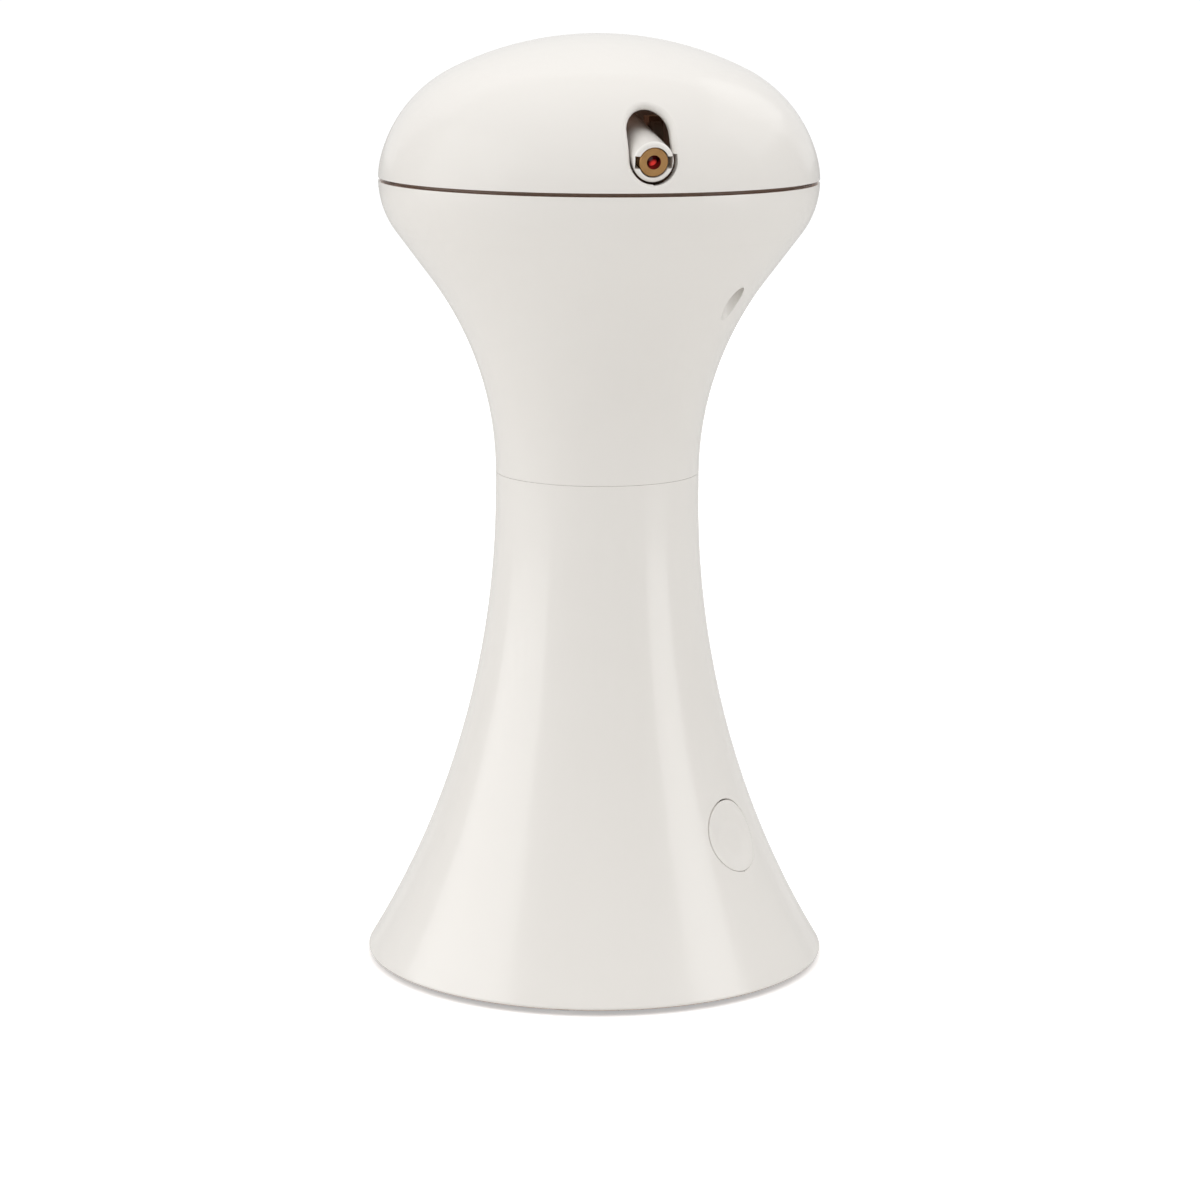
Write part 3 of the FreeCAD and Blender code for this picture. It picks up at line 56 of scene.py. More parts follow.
# Camera: the photograph is 1200 x 1200 pixels; the sensor's side is in millimetres
PHOTO_SIDE = 1200
FOCAL_PIXELS = 3462.05
SENSOR = 36.0
CLIP_NEAR = 0.01
CLIP_FAR = 100.0
CAMERA_TURN = math.radians(-57.0)
CAMERA_REACH = 0.7542
CAMERA_LEVEL = 0.2274
CAMERA_PITCH = math.radians(11.05)
CAMERA_YAW = 0.00105
CAMERA_ROLL = 0.0065

# Light: radiances, with 1.0 as pure white; the lamps aim at a level on the object's axis
BACKDROP = 1.05
WORLD_LIGHT = 0.47
WORLD_COLOUR = (1.0, 0.995, 0.985)
AIM_LEVEL = 0.11

# Light that comes through the dome's thin wall, from a lamp inside it
DOME_GLOW_WATTS = 0.0013
DOME_GLOW_COLOUR = (1.0, 0.58, 0.42)
DOME_GLOW_RISE = 0.021
DOME_GLOW_RADIUS = 0.006

# Floor: it looks darker in the object's gloss than to the camera
FLOOR_RADIUS = 1.5
FLOOR_SIDES = 128
FLOOR_SHINE = 0.40
FLOOR_WHITE = (0.87, 0.865, 0.855)
FLOOR_REFLECTED = (0.64, 0.635, 0.625)

# White plastic: sizes and depths of its marks
WHITE_WARM = (0.835, 0.805, 0.765)
WHITE_PALE = (0.850, 0.825, 0.790)
WHITE_ROUGHNESS = (0.165, 0.245)
FLOW_CLOUD = 0.045
HAZE_SIZE = 0.012
WAVE_SIZE = 0.016
WAVE_DEPTH = 0.00001
PEEL_SIZE = 0.0011
PEEL_DEPTH = 0.0000022

# Painted warm shade inside a gap: half its height, how far in it starts, and how softly
GAP_SHADE_BROWN = (0.48, 0.31, 0.22)
GAP_HALF = 0.0007
GAP_DEPTH = 0.0003
GAP_BLEND = 0.0002

# Moulded plastic inside, and rubber
PLASTIC_CLOUD = 0.02
FINE_GRAIN = 0.0004
COARSE_GRAIN = 0.0008
GRAIN_DEPTH = 0.00002
RUBBER_DEEP = (0.80, 0.79, 0.75)
RUBBER_LIGHT = (0.88, 0.87, 0.84)
BLOOM_SIZE = 0.003
RUBBER_GRAIN = 0.0006
RUBBER_DEPTH = 0.000015

# Drawn metal: its lines run along Z
LINE_SIZE = 0.0002
LINE_STRETCH = (1, 1, 0.06)
LINE_DEPTH = 0.000006
TARNISH_SIZE = 0.006

# Lasers: each one's own frame has +Z along its beam
LASERS = (1, 2)
LASER_DIP = math.radians(11.0)
BRASS_BRIGHT = (0.59, 0.345, 0.15)
BRASS_DULL = (0.39, 0.21, 0.08)
LATHE_SIZE = 0.00022
LATHE_DEPTH = 0.000012
STAIN_SIZE = 0.0016
# Painted shade inside each laser's bore: its colour, and the radii where it fades out
BORE_SHADE = (0.060, 0.030, 0.026)
BORE_INNER = 0.00145
BORE_OUTER = 0.00151
LENS_DEEP = (0.10, 0.004, 0.006)
LENS_LIGHT = (0.16, 0.008, 0.01)
SPECKLE_SIZE = 0.0004
GLOW_STRENGTH = 0.62
GLOW_COLOUR = (1.0, 0.06, 0.05)
GLOW_MIDDLE = (0.0005, -0.0009, 0)
GLOW_CORE = 0.00025
GLOW_EDGE = 0.0011

# Cells: a film with a coloured band at the nub's end, and bare steel ends
CELLS = (1, 2, 3, 4)
FILM_DEEP = (0.018, 0.018, 0.02)
FILM_LIGHT = (0.03, 0.03, 0.034)
BAND_COLOUR = (0.42, 0.18, 0.07)
BAND_WIDTH = 0.015
BAND_BLEND = 0.0001
CELL_STEEL = (0.62, 0.61, 0.60)
CELL_END_RADIUS = 0.0058
SCUFF_SIZE = 0.002
SCUFF_DEPTH = 0.00001

# Circuit boards: solder mask over traces
MASK_DEEP = (0.008, 0.10, 0.045)
MASK_LIGHT = (0.014, 0.14, 0.062)
TRACE_COLOUR = (0.028, 0.21, 0.10)
TRACE_PITCH = 0.0024
TRACE_DEPTH = 0.00003
WEAVE_SIZE = 0.0008

# Screws: the way that each set's heads face
SCREW_AXES = {
    "base_screws": (0, 0, -1),
    "waist_screws": (0, 0, -1),
    "deck_screws": (0, 0, -1),
    "dome_screws": (0, 0, -1),
    "box_screws": (0, 0, 1),
    "motor_screws": (0, 0, 1),
    "board_screws": joints["button_press"]["axis"],
}
SCREW_SIDES = 32

# Thread: its depth, the tip and the taper's start are shares of the shank's radius, the flanks' steepness
# is in depths per pitch, and the taper's length is in turns
THREAD_PITCH = 0.0009
THREAD_DEPTH = 0.16
THREAD_STEEPNESS = 2.4
RINGS_PER_TURN = 6
TIP_SHARE = 0.25
TAPER_SHARE = 0.45
TAPER_TURNS = 2.5

# Screw head: the edge, from the underside up, as shares of the head's (height, radius)
HEAD_EDGE = ((0.0, 0.985), (0.12, 1.0), (0.40, 1.0))
HEAD_RINGS = 16

# Crown and cross recess: heights and depths are shares of the head's height, widths of its radius
CROWN_HEIGHT = 0.6
RECESS_DEPTH = 0.62
ARM_REACH = 0.60
ARM_END_SLOPE = 0.10
ARM_HALF_WIDTH = 0.17
ARM_SIDE_SLOPE = 0.06

# CAD screws: points nearer to the axis than the first share of the head's radius are the middle of an
# end face, and points further out than the second belong to the head
END_MIDDLE_SHARE = 0.125
HEAD_SHARE = 0.9

# Meshes: points closer than WELD are one, edges over SHARP_ANGLE may be eased, and faces look the same
# way where the cosine between them is over SAME_SIDE
WELD = 0.0000005
SHARP_ANGLE = math.radians(20)
SAME_SIDE = 0.6

# Base and waist
BASE_RADIUS = 0.0512
FLARE_HEIGHT = 0.1033
WAIST_BAND = 0.0047
WAIST_RADIUS = 0.02235
WAIST_EDGE_SHARE = 0.99
WAIST_EASE = 0.00011
WAIST_SLIT = 0.00006
EASE_STEPS = 3

# Power button and its mouth; the curved outer end lies above FACE_DEPTH, measured inwards from the cap's
# middle, and what lies above SKIRT_DEPTH sits low and to one side
BUTTON_RADIUS = 0.008
BUTTON_GAP = 0.0002
MOUTH_EASE = 0.00015
MOUTH_TOLERANCE = 0.00003
FACE_DEPTH = 0.0016
SKIRT_DEPTH = 0.0018
LOOKS_OUT = 0.5
CAP_EDGE = 0.00012
CAP_DISH = 0.0007
DISH_RADIUS = 0.0076
DISH_SLOPE = 0.0042
CAP_SAG = 0.00013
CAP_SHIFT = 0.00007
CAP_SHARP_ANGLE = math.radians(35)
CAP_RINGS = (0.00797, 0.00794, 0.0079, 0.00786, 0.0077, 0.0073, 0.0069, 0.0064, 0.0058, 0.0052, 0.0046,
             0.004, 0.0032, 0.0024, 0.0016, 0.0008)

# Passes that find the flare's surface under a point of the cap, and the part of the way that each goes
FLARE_PASSES = 12
FLARE_STEP = 0.9

# Places taken from the frame
seam = joints["dome_spin"]["pos_m"][2]
rim_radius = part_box("upper_shell")[1][0]
base_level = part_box("base_shell")[0][2]
waist_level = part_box("base_shell")[1][2]
button_inward = Vector(joints["button_press"]["axis"])
button_up = (-button_inward).cross(Vector((1, 0, 0)))

# The base's outer face is one arc turned round the Z axis, and the cap's middle lies on it
flare_top = waist_level - WAIST_BAND
flare_reach = BASE_RADIUS - WAIST_RADIUS
flare_radius = (flare_reach ** 2 + FLARE_HEIGHT ** 2) / (2 * flare_reach)
flare_axis = WAIST_RADIUS + flare_radius
cap_middle = Vector((0, flare_radius * button_inward.y - flare_axis,
                     flare_top + flare_radius * button_inward.z))


def clamped(value):
    """Value kept between 0 and 1."""
    return min(1.0, max(0.0, value))


def add_object(name, data):
    """New object in the scene."""
    added = bpy.data.objects.new(name, data)
    bpy.context.scene.collection.objects.link(added)
    return added


# Camera, light and floor

def make_camera():
    """Camera at the photograph's place and viewing angle."""
    data = bpy.data.cameras.new("camera")
    data.sensor_width = SENSOR
    data.lens = FOCAL_PIXELS * SENSOR / PHOTO_SIDE
    data.clip_start = CLIP_NEAR
    data.clip_end = CLIP_FAR
    camera = add_object("camera", data)
    camera.location = (CAMERA_REACH * math.sin(CAMERA_TURN), -CAMERA_REACH * math.cos(CAMERA_TURN),
                       CAMERA_LEVEL)
    turn = Matrix.Rotation(CAMERA_TURN - CAMERA_YAW, 3, "Z")
    tip = Matrix.Rotation(math.pi / 2 - CAMERA_PITCH, 3, "X")
    camera.rotation_euler = (turn @ tip @ Matrix.Rotation(CAMERA_ROLL, 3, "Z")).to_euler()
    bpy.context.scene.camera = camera


def make_world():
    """Even white surroundings, pure white where the camera sees them."""
    world = bpy.data.worlds.new("surroundings")
    bpy.context.scene.world = world
    world.use_nodes = True
    tree = world.node_tree
    light = tree.nodes["Background"]
    light.inputs["Color"].default_value = (*WORLD_COLOUR, 1)
    light.inputs["Strength"].default_value = WORLD_LIGHT
    shown = tree.nodes.new("ShaderNodeBackground")
    shown.inputs["Color"].default_value = (1, 1, 1, 1)
    shown.inputs["Strength"].default_value = BACKDROP
    path = tree.nodes.new("ShaderNodeLightPath")
    either = tree.nodes.new("ShaderNodeMixShader")
    tree.links.new(path.outputs["Is Camera Ray"], either.inputs["Fac"])
    tree.links.new(light.outputs["Background"], either.inputs[1])
    tree.links.new(shown.outputs["Background"], either.inputs[2])
    tree.links.new(either.outputs["Shader"], tree.nodes["World Output"].inputs["Surface"])


def make_softbox(name, degrees, reach, level, size, radiance, seen_in, spares=()):
    """Rectangular softbox that faces the object, turned from the camera to its right by some degrees.

    size is its width and height. seen_in is the part of the finish that it adds to, "matt" or "gloss". It
    doesn't light the nodes that it spares.
    """
    width, height = size
    data = bpy.data.lights.new(name, "AREA")
    data.shape = "RECTANGLE"
    data.size = width
    data.size_y = height
    data.energy = radiance * math.pi * width * height
    lamp = add_object(name, data)
    turn = CAMERA_TURN + math.radians(degrees)
    lamp.location = (reach * math.sin(turn), -reach * math.cos(turn), level)
    lamp.rotation_mode = "QUATERNION"
    lamp.rotation_quaternion = (lamp.location - Vector((0, 0, AIM_LEVEL))).to_track_quat("Z", "Y")
    lamp.visible_camera = False
    lamp.visible_diffuse = seen_in == "matt"
    lamp.visible_glossy = seen_in == "gloss"
    if spares:
        spared = bpy.data.collections.new(name + "_spares")
        for node in spares:
            spared.objects.link(nodes[node])
        for member in spared.collection_objects:
            member.light_linking.link_state = "EXCLUDE"
        lamp.light_linking.receiver_collection = spared


def make_studio():
    """Wide softboxes for the matt part of the finish, and panels for the streaks in its gloss.

    The side panels spare the dome, whose outline would melt into the white behind it from other sides.
    """
    make_softbox("softbox_left", -72, reach=0.9, level=0.25, size=(1.3, 1.5), radiance=0.68, seen_in="matt")
    make_softbox("softbox_right", 70, reach=0.9, level=0.5, size=(0.7, 1.5), radiance=0.56, seen_in="matt")
    make_softbox("softbox_top", 180, reach=0.05, level=1.6, size=(3.0, 3.0), radiance=0.95, seen_in="matt")
    make_softbox("panel_left", -80, reach=0.88, level=0.42, size=(1.0, 1.0), radiance=1.05, seen_in="gloss",
                 spares=["dome_shell"])
    make_softbox("panel_right", 70, reach=0.88, level=0.36, size=(0.44, 1.0), radiance=1.5, seen_in="gloss",
                 spares=["dome_shell"])
    make_softbox("panel_high", 118, reach=0.9, level=0.85, size=(1.1, 0.6), radiance=0.45, seen_in="gloss")
    make_softbox("panel_soft", -75, reach=0.9, level=0.45, size=(0.9, 0.8), radiance=0.35, seen_in="gloss")
    make_softbox("panel_back", 180, reach=1.3, level=0.95, size=(3.2, 1.7), radiance=0.27, seen_in="gloss")


def make_dome_glow():
    """Lamp for the light that comes through the dome's thin white wall, warmed by the plastic."""
    data = bpy.data.lights.new("dome_glow", "POINT")
    data.energy = DOME_GLOW_WATTS
    data.color = DOME_GLOW_COLOUR
    data.shadow_soft_size = DOME_GLOW_RADIUS
    lamp = add_object("dome_glow", data)
    lamp.location = (0, 0, seam + DOME_GLOW_RISE)
    lamp.visible_camera = False
    lamp.visible_glossy = False


def make_floor():
    """Round white table top that shines a little to the camera, like backlit acrylic."""
    mesh = bpy.data.meshes.new("floor")
    steps = [math.tau * side / FLOOR_SIDES for side in range(FLOOR_SIDES)]
    rim = [(FLOOR_RADIUS * math.cos(step), FLOOR_RADIUS * math.sin(step), 0) for step in steps]
    mesh.from_pydata(rim, [], [tuple(range(FLOOR_SIDES))])
    floor = add_object("floor", mesh)
    paint = Graph("floor_paper")
    path = paint.add("ShaderNodeLightPath")
    colour = paint.blend(path.outputs["Is Glossy Ray"], FLOOR_WHITE, FLOOR_REFLECTED)
    shine = paint.span(path.outputs["Is Camera Ray"], 0.0, FLOOR_SHINE)
    mesh.materials.append(paint.finish(Base_Color=colour, Roughness=0.9, Specular_IOR_Level=0.1,
                                       Emission_Color=(1, 1, 1), Emission_Strength=shine))


# Materials

class Graph:
    """Node tree of one material, with short ways to add its nodes."""

    def __init__(self, name, place=None, turn=(0, 0, 0)):
        """place and turn set the material's own axes; without a place it uses the object's frame."""
        self.material = bpy.data.materials.new(name)
        self.material.use_nodes = True
        self.tree = self.material.node_tree
        self.shader = self.tree.nodes["Principled BSDF"]
        self.where = self.add("ShaderNodeTexCoord").outputs["Object"]
        if place is not None:
            axes = {"Vector": self.where, "Location": place, "Rotation": turn}
            self.where = self.add("ShaderNodeMapping", axes, vector_type="TEXTURE").outputs["Vector"]

    def feed(self, socket, source):
        """Link a socket to an input, or set its value; a colour gets its alpha here."""
        if isinstance(source, bpy.types.NodeSocket):
            self.tree.links.new(source, socket)
        elif socket.type == "RGBA":
            socket.default_value = (*source, 1)
        else:
            socket.default_value = source

    def add(self, kind, inputs=None, **settings):
        """New node, with its settings and what its inputs take."""
        node = self.tree.nodes.new(kind)
        for name, setting in settings.items():
            setattr(node, name, setting)
        for name, source in (inputs or {}).items():
            self.feed(node.inputs[name], source)
        return node

    def noise(self, size, detail=2.0, rough=0.5, where=None):
        """Noise whose grain is about the given size, in the material's axes or at other places."""
        where = self.where if where is None else where
        return self.add("ShaderNodeTexNoise", {"Vector": where, "Scale": 1 / size, "Detail": detail,
                                               "Roughness": rough}).outputs["Fac"]

    def span(self, factor, start, end, first=0.0, last=1.0, smooth=False):
        """Factor moved from the range first to last into the range start to end."""
        kind = "SMOOTHSTEP" if smooth else "LINEAR"
        return self.add("ShaderNodeMapRange", {"Value": factor, "From Min": first, "From Max": last,
                                               "To Min": start, "To Max": end},
                        interpolation_type=kind).outputs["Result"]

    def reach(self, middle=(0, 0, 0)):
        """Distance from the line along Z through a point, and the place along that line."""
        moved = self.add("ShaderNodeVectorMath", {0: self.where, 1: middle}, operation="SUBTRACT")
        apart = self.add("ShaderNodeSeparateXYZ", {"Vector": moved.outputs["Vector"]})
        flat = self.add("ShaderNodeCombineXYZ", {"X": apart.outputs["X"], "Y": apart.outputs["Y"]})
        away = self.add("ShaderNodeVectorMath", {0: flat.outputs["Vector"]}, operation="LENGTH")
        return away.outputs["Value"], apart.outputs["Z"]

    def blend(self, factor, first, second):
        """Colour between two others."""
        node = self.add("ShaderNodeMix", {"Factor": factor}, data_type="RGBA")
        colours = [socket for socket in node.inputs if socket.type == "RGBA"]
        for socket, source in zip(colours, (first, second)):
            self.feed(socket, source)
        return next(socket for socket in node.outputs if socket.type == "RGBA")

    def bump(self, height, depth, over=None):
        """Bump of a given depth, over another bump if one is given."""
        inputs = {"Height": height, "Distance": depth, "Strength": 1.0}
        if over is not None:
            inputs["Normal"] = over
        return self.add("ShaderNodeBump", inputs).outputs["Normal"]

    def finish(self, **inputs):
        """Material whose shader takes these inputs, by their names with _ for spaces."""
        for name, source in inputs.items():
            self.feed(self.shader.inputs[name.replace("_", " ")], source)
        return self.material


def gloss_white(name, gap=None):
    """Polished moulded plastic: faint flow clouds, orange peel and handling haze.

    gap is the (level, half height, radius) of a ring band, inside which the colour is darkened to a painted
    warm shade.
    """
    paint = Graph(name)
    colour = paint.blend(paint.noise(FLOW_CLOUD, detail=3.0), WHITE_WARM, WHITE_PALE)
    if gap is not None:
        # Painted warm shade: the colour darkens inside the ring band near the level, within the radius
        level, half, radius = gap
        away, height = paint.reach((0, 0, level))
        flat = paint.add("ShaderNodeMath", {0: height}, operation="ABSOLUTE").outputs["Value"]
        near = paint.span(flat, 1.0, 0.0, half, half + GAP_BLEND)
        inside = paint.span(away, 1.0, 0.0, radius - GAP_BLEND, radius)
        gap_shade = paint.add("ShaderNodeMath", {0: near, 1: inside}, operation="MULTIPLY").outputs["Value"]
        colour = paint.blend(gap_shade, colour, GAP_SHADE_BROWN)
    haze = paint.noise(HAZE_SIZE, detail=4.0, rough=0.6)
    peel = paint.bump(paint.noise(PEEL_SIZE), PEEL_DEPTH)
    waves = paint.bump(paint.noise(WAVE_SIZE, detail=1.0), WAVE_DEPTH, over=peel)
    return paint.finish(Base_Color=colour, Roughness=paint.span(haze, *WHITE_ROUGHNESS), Normal=waves,
                        IOR=1.52, Coat_Weight=0.2, Coat_Roughness=0.07, Coat_IOR=1.5)


def grained_plastic(name, deep, light, roughness, grain=FINE_GRAIN):
    """Spark-eroded moulded plastic with a fine grain; roughness is its lowest and highest value."""
    paint = Graph(name)
    clouds = paint.noise(PLASTIC_CLOUD, detail=3.0)
    fine = paint.noise(grain, detail=3.0, rough=0.65)
    return paint.finish(Base_Color=paint.blend(clouds, deep, light), Roughness=paint.span(fine, *roughness),
                        Normal=paint.bump(fine, GRAIN_DEPTH), IOR=1.49)


def soft_rubber(name):
    """Milky soft rubber with a fine bloom."""
    paint = Graph(name)
    bloom = paint.noise(BLOOM_SIZE, detail=4.0)
    return paint.finish(Base_Color=paint.blend(bloom, RUBBER_DEEP, RUBBER_LIGHT),
                        Roughness=paint.span(bloom, 0.42, 0.6),
                        Normal=paint.bump(paint.noise(RUBBER_GRAIN), RUBBER_DEPTH),
                        Subsurface_Weight=0.35, Subsurface_Radius=(1.0, 0.85, 0.7), Subsurface_Scale=0.0015,
                        IOR=1.41)


def drawn_metal(name, colour, tarnished, roughness):
    """Metal with fine draw lines and faint tarnish; roughness is its lowest and highest value."""
    paint = Graph(name)
    stretched = paint.add("ShaderNodeVectorMath", {0: paint.where, 1: LINE_STRETCH}, operation="MULTIPLY")
    lines = paint.noise(LINE_SIZE, detail=3.0, where=stretched.outputs["Vector"])
    tarnish = paint.noise(TARNISH_SIZE, detail=4.0, rough=0.6)
    return paint.finish(Base_Color=paint.blend(tarnish, colour, tarnished), Metallic=1.0,
                        Roughness=paint.span(lines, *roughness), Normal=paint.bump(lines, LINE_DEPTH))


def turned_brass(name, place, turn):
    """Lathe-turned brass with ring marks and stains, and painted shade darkening its bore."""
    paint = Graph(name, place, turn)
    away, along = paint.reach()
    rings = paint.add("ShaderNodeCombineXYZ", {"X": away, "Z": along})
    marks = paint.noise(LATHE_SIZE, where=rings.outputs["Vector"])
    stain = paint.noise(STAIN_SIZE, detail=3.0, rough=0.6)
    metal = paint.blend(stain, BRASS_BRIGHT, BRASS_DULL)
    ringed = paint.blend(paint.span(marks, 0.0, 0.5, first=0.45, last=0.75), metal, BRASS_DULL)
    # Painted shade darkens the brass inside the bore, fading out between BORE_INNER and BORE_OUTER
    inside = paint.span(away, 1.0, 0.0, BORE_INNER, BORE_OUTER)
    return paint.finish(Base_Color=paint.blend(inside, ringed, BORE_SHADE), Metallic=1.0,
                        Roughness=paint.span(marks, 0.24, 0.42), Normal=paint.bump(marks, LATHE_DEPTH))


def lit_lens(name, place, turn):
    """Dark red lens with the diode's glow near its middle."""
    paint = Graph(name, place, turn)
    away, _ = paint.reach(GLOW_MIDDLE)
    speckle = paint.noise(SPECKLE_SIZE)
    glow = paint.span(away, GLOW_STRENGTH, 0.0, GLOW_CORE, GLOW_EDGE, smooth=True)
    return paint.finish(Base_Color=paint.blend(speckle, LENS_DEEP, LENS_LIGHT),
                        Roughness=paint.span(speckle, 0.08, 0.16), Emission_Color=GLOW_COLOUR,
                        Emission_Strength=glow, IOR=1.5)


def cell_jacket(name, low, high, nub_up):
    """Plain two-colour shrink film with bare steel ends, for the cell between two corners."""
    paint = Graph(name, place=((low[0] + high[0]) / 2, (low[1] + high[1]) / 2, 0))
    away, level = paint.reach()
    band_edge = high[2] - BAND_WIDTH if nub_up else low[2] + BAND_WIDTH
    band_start = band_edge + BAND_BLEND if nub_up else band_edge - BAND_BLEND
    band = paint.span(level, 0.0, 1.0, band_edge, band_start)
    scuffs = paint.noise(SCUFF_SIZE, detail=4.0, rough=0.7)
    film = paint.blend(band, paint.blend(scuffs, FILM_DEEP, FILM_LIGHT), BAND_COLOUR)
    ends = paint.span(away, 1.0, 0.0, CELL_END_RADIUS, CELL_END_RADIUS + BAND_BLEND)
    return paint.finish(Base_Color=paint.blend(ends, film, CELL_STEEL), Metallic=ends,
                        Roughness=paint.span(scuffs, 0.22, 0.42), Normal=paint.bump(scuffs, SCUFF_DEPTH))


def printed_board(name):
    """Green solder mask over copper traces and pads."""
    paint = Graph(name)
    pads = paint.add("ShaderNodeTexVoronoi", {"Vector": paint.where, "Scale": 1 / TRACE_PITCH},
                     feature="DISTANCE_TO_EDGE", distance="CHEBYCHEV")
    raised = paint.span(pads.outputs["Distance"], 0.0, 1.0, first=0.05, last=0.09)
    weave = paint.noise(WEAVE_SIZE, detail=3.0)
    mask = paint.blend(weave, MASK_DEEP, MASK_LIGHT)
    return paint.finish(Base_Color=paint.blend(raised, mask, TRACE_COLOUR),
                        Roughness=paint.span(weave, 0.26, 0.4),
                        Normal=paint.bump(raised, TRACE_DEPTH), IOR=1.5)


def laser_frame(number):
    """Origin and rotation of a laser's own frame, from its tilt joint."""
    joint = joints[f"laser_tilt_{number}"]
    across = joint["axis"]
    return joint["pos_m"], (math.pi / 2 + LASER_DIP, 0, math.atan2(-across[1], -across[0]))


def make_slot_materials():
    """One finish for each material slot, but for the slots whose nodes all have their own."""
    return {
        "shell_plastic": gloss_white("shell_plastic_gloss"),
        # The inner plastic's warm brown is partly its own tone and partly painted shade, for the dim warm
        # light among the inner parts
        "inner_plastic": grained_plastic("inner_plastic_grain", (0.27, 0.19, 0.14), (0.33, 0.24, 0.18),
                                         roughness=(0.48, 0.64)),
        "switch_black": grained_plastic("switch_black_grain", (0.012, 0.012, 0.012), (0.02, 0.02, 0.02),
                                        roughness=(0.38, 0.54)),
        "gear_plastic": grained_plastic("gear_plastic_acetal", (0.80, 0.79, 0.74), (0.86, 0.85, 0.81),
                                        roughness=(0.33, 0.49), grain=COARSE_GRAIN),
        "rubber": soft_rubber("rubber_milky"),
        "spring_steel": drawn_metal("spring_steel_rolled", (0.72, 0.72, 0.73), (0.62, 0.61, 0.60),
                                    roughness=(0.17, 0.37)),
        "screw_steel": drawn_metal("screw_steel_zinc", (0.66, 0.67, 0.69), (0.58, 0.57, 0.54),
                                   roughness=(0.24, 0.44)),
        "motor_can": drawn_metal("motor_can_drawn", (0.64, 0.64, 0.65), (0.55, 0.54, 0.52),
                                 roughness=(0.22, 0.42)),
        "brass": drawn_metal("brass_drawn", BRASS_BRIGHT, BRASS_DULL, roughness=(0.20, 0.40)),
        "circuit_board": printed_board("circuit_board_mask"),
    }


def make_own_materials():
    """Finishes of single nodes: shells, laser modules, lenses and cells.

    The dome and the upper shell get painted warm shade inside the gap between them, and the base shell
    painted shade all over its foot edge, so that one's radius lies outside the part.
    """
    own = {}
    for node in ("dome_shell", "upper_shell"):
        own[node] = gloss_white(f"{node}_gloss", gap=(seam, GAP_HALF, rim_radius - GAP_DEPTH))
    # Painted warm shade along the base shell's foot edge, for the shadow line where it meets the floor
    foot_shade = (base_level, GAP_BLEND / 2, BASE_RADIUS * 2)
    own["base_shell"] = gloss_white("base_shell_gloss", gap=foot_shade)
    for number in LASERS:
        place, turn = laser_frame(number)
        own[f"laser_module_{number}"] = turned_brass(f"laser_module_{number}_brass", place, turn)
        own[f"laser_lens_{number}"] = lit_lens(f"laser_lens_{number}_red", place, turn)
    for number in CELLS:
        low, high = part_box(f"aa_cell_{number}")
        own[f"aa_cell_{number}"] = cell_jacket(f"aa_cell_{number}_jacket", low, high, nub_up=number % 2 == 0)
    return own


def dress(mesh, node):
    """Give a mesh the node's own finish, or that of its material slot."""
    mesh.materials.clear()
    mesh.materials.append(own_materials.get(node) or slot_materials[node_slots[node]])


def add_piece(mesh, node):
    """Show a mesh in place of a CAD node, with its body, slot and finish."""
    piece = add_object(mesh.name, mesh)
    dress(mesh, node)
    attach(piece, node_bodies[node])
    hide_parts(node)


def welded(mesh):
    """Working copy of a mesh whose faces share their points."""
    work = bmesh.new()
    work.from_mesh(mesh)
    bmesh.ops.remove_doubles(work, verts=work.verts, dist=WELD)
    return work


def finished(work, name):
    """Mesh made from a working copy, with smooth faces."""
    mesh = bpy.data.meshes.new(name)
    work.to_mesh(mesh)
    work.free()
    mesh.shade_smooth()
    return mesh


def bridge(work, loops):
    """Faces between closed loops of points, each loop joined to the next."""
    for lower, upper in zip(loops, loops[1:]):
        for side in range(len(lower)):
            after = (side + 1) % len(lower)
            work.faces.new((lower[side], lower[after], upper[after], upper[side]))


# Screws: cross-headed and threaded, in place of the plain CAD ones

def islands(mesh):
    """Lists of the points of each loose part of a mesh."""
    work = welded(mesh)
    seen = set()
    groups = []
    for start in work.verts:
        if start in seen:
            continue
        seen.add(start)
        group, front = [], [start]
        while front:
            vertex = front.pop()
            group.append(vertex.co.copy())
            for edge in vertex.link_edges:
                other = edge.other_vert(vertex)
                if other not in seen:
                    seen.add(other)
                    front.append(other)
        groups.append(group)
    work.free()
    return groups


def screw_profile(length, shank, head, height):
    """Rings of (level, radius at an angle) from the tip to the head's edge; the head's top is at 0."""
    threaded = length - height
    rings = [(-length, lambda angle: shank * TIP_SHARE)]
    count = math.ceil(threaded / THREAD_PITCH * RINGS_PER_TURN)
    for step in range(count + 1):
        level = -length + threaded * step / count
        taper = min(1.0, TAPER_SHARE + (level + length) / (TAPER_TURNS * THREAD_PITCH))

        def radius(angle, level=level, taper=taper):
            phase = (level / THREAD_PITCH - angle / math.tau) % 1
            return shank * taper * (1 - THREAD_DEPTH * min(1.0, THREAD_STEEPNESS * abs(phase - 0.5)))
        rings.append((level, radius))
    for rise, share in HEAD_EDGE:
        rings.append((-height + rise * height, lambda angle, share=share: head * share))
    return rings


def recess(across, along, head, height):
    """Depth of the cross recess at a point of the head."""
    far = max(abs(across), abs(along))
    near = min(abs(across), abs(along))
    along_arm = clamped((ARM_REACH * head - far) / (ARM_END_SLOPE * head))
    across_arm = clamped((ARM_HALF_WIDTH * head - near) / (ARM_SIDE_SLOPE * head))
    return RECESS_DEPTH * height * along_arm * across_arm


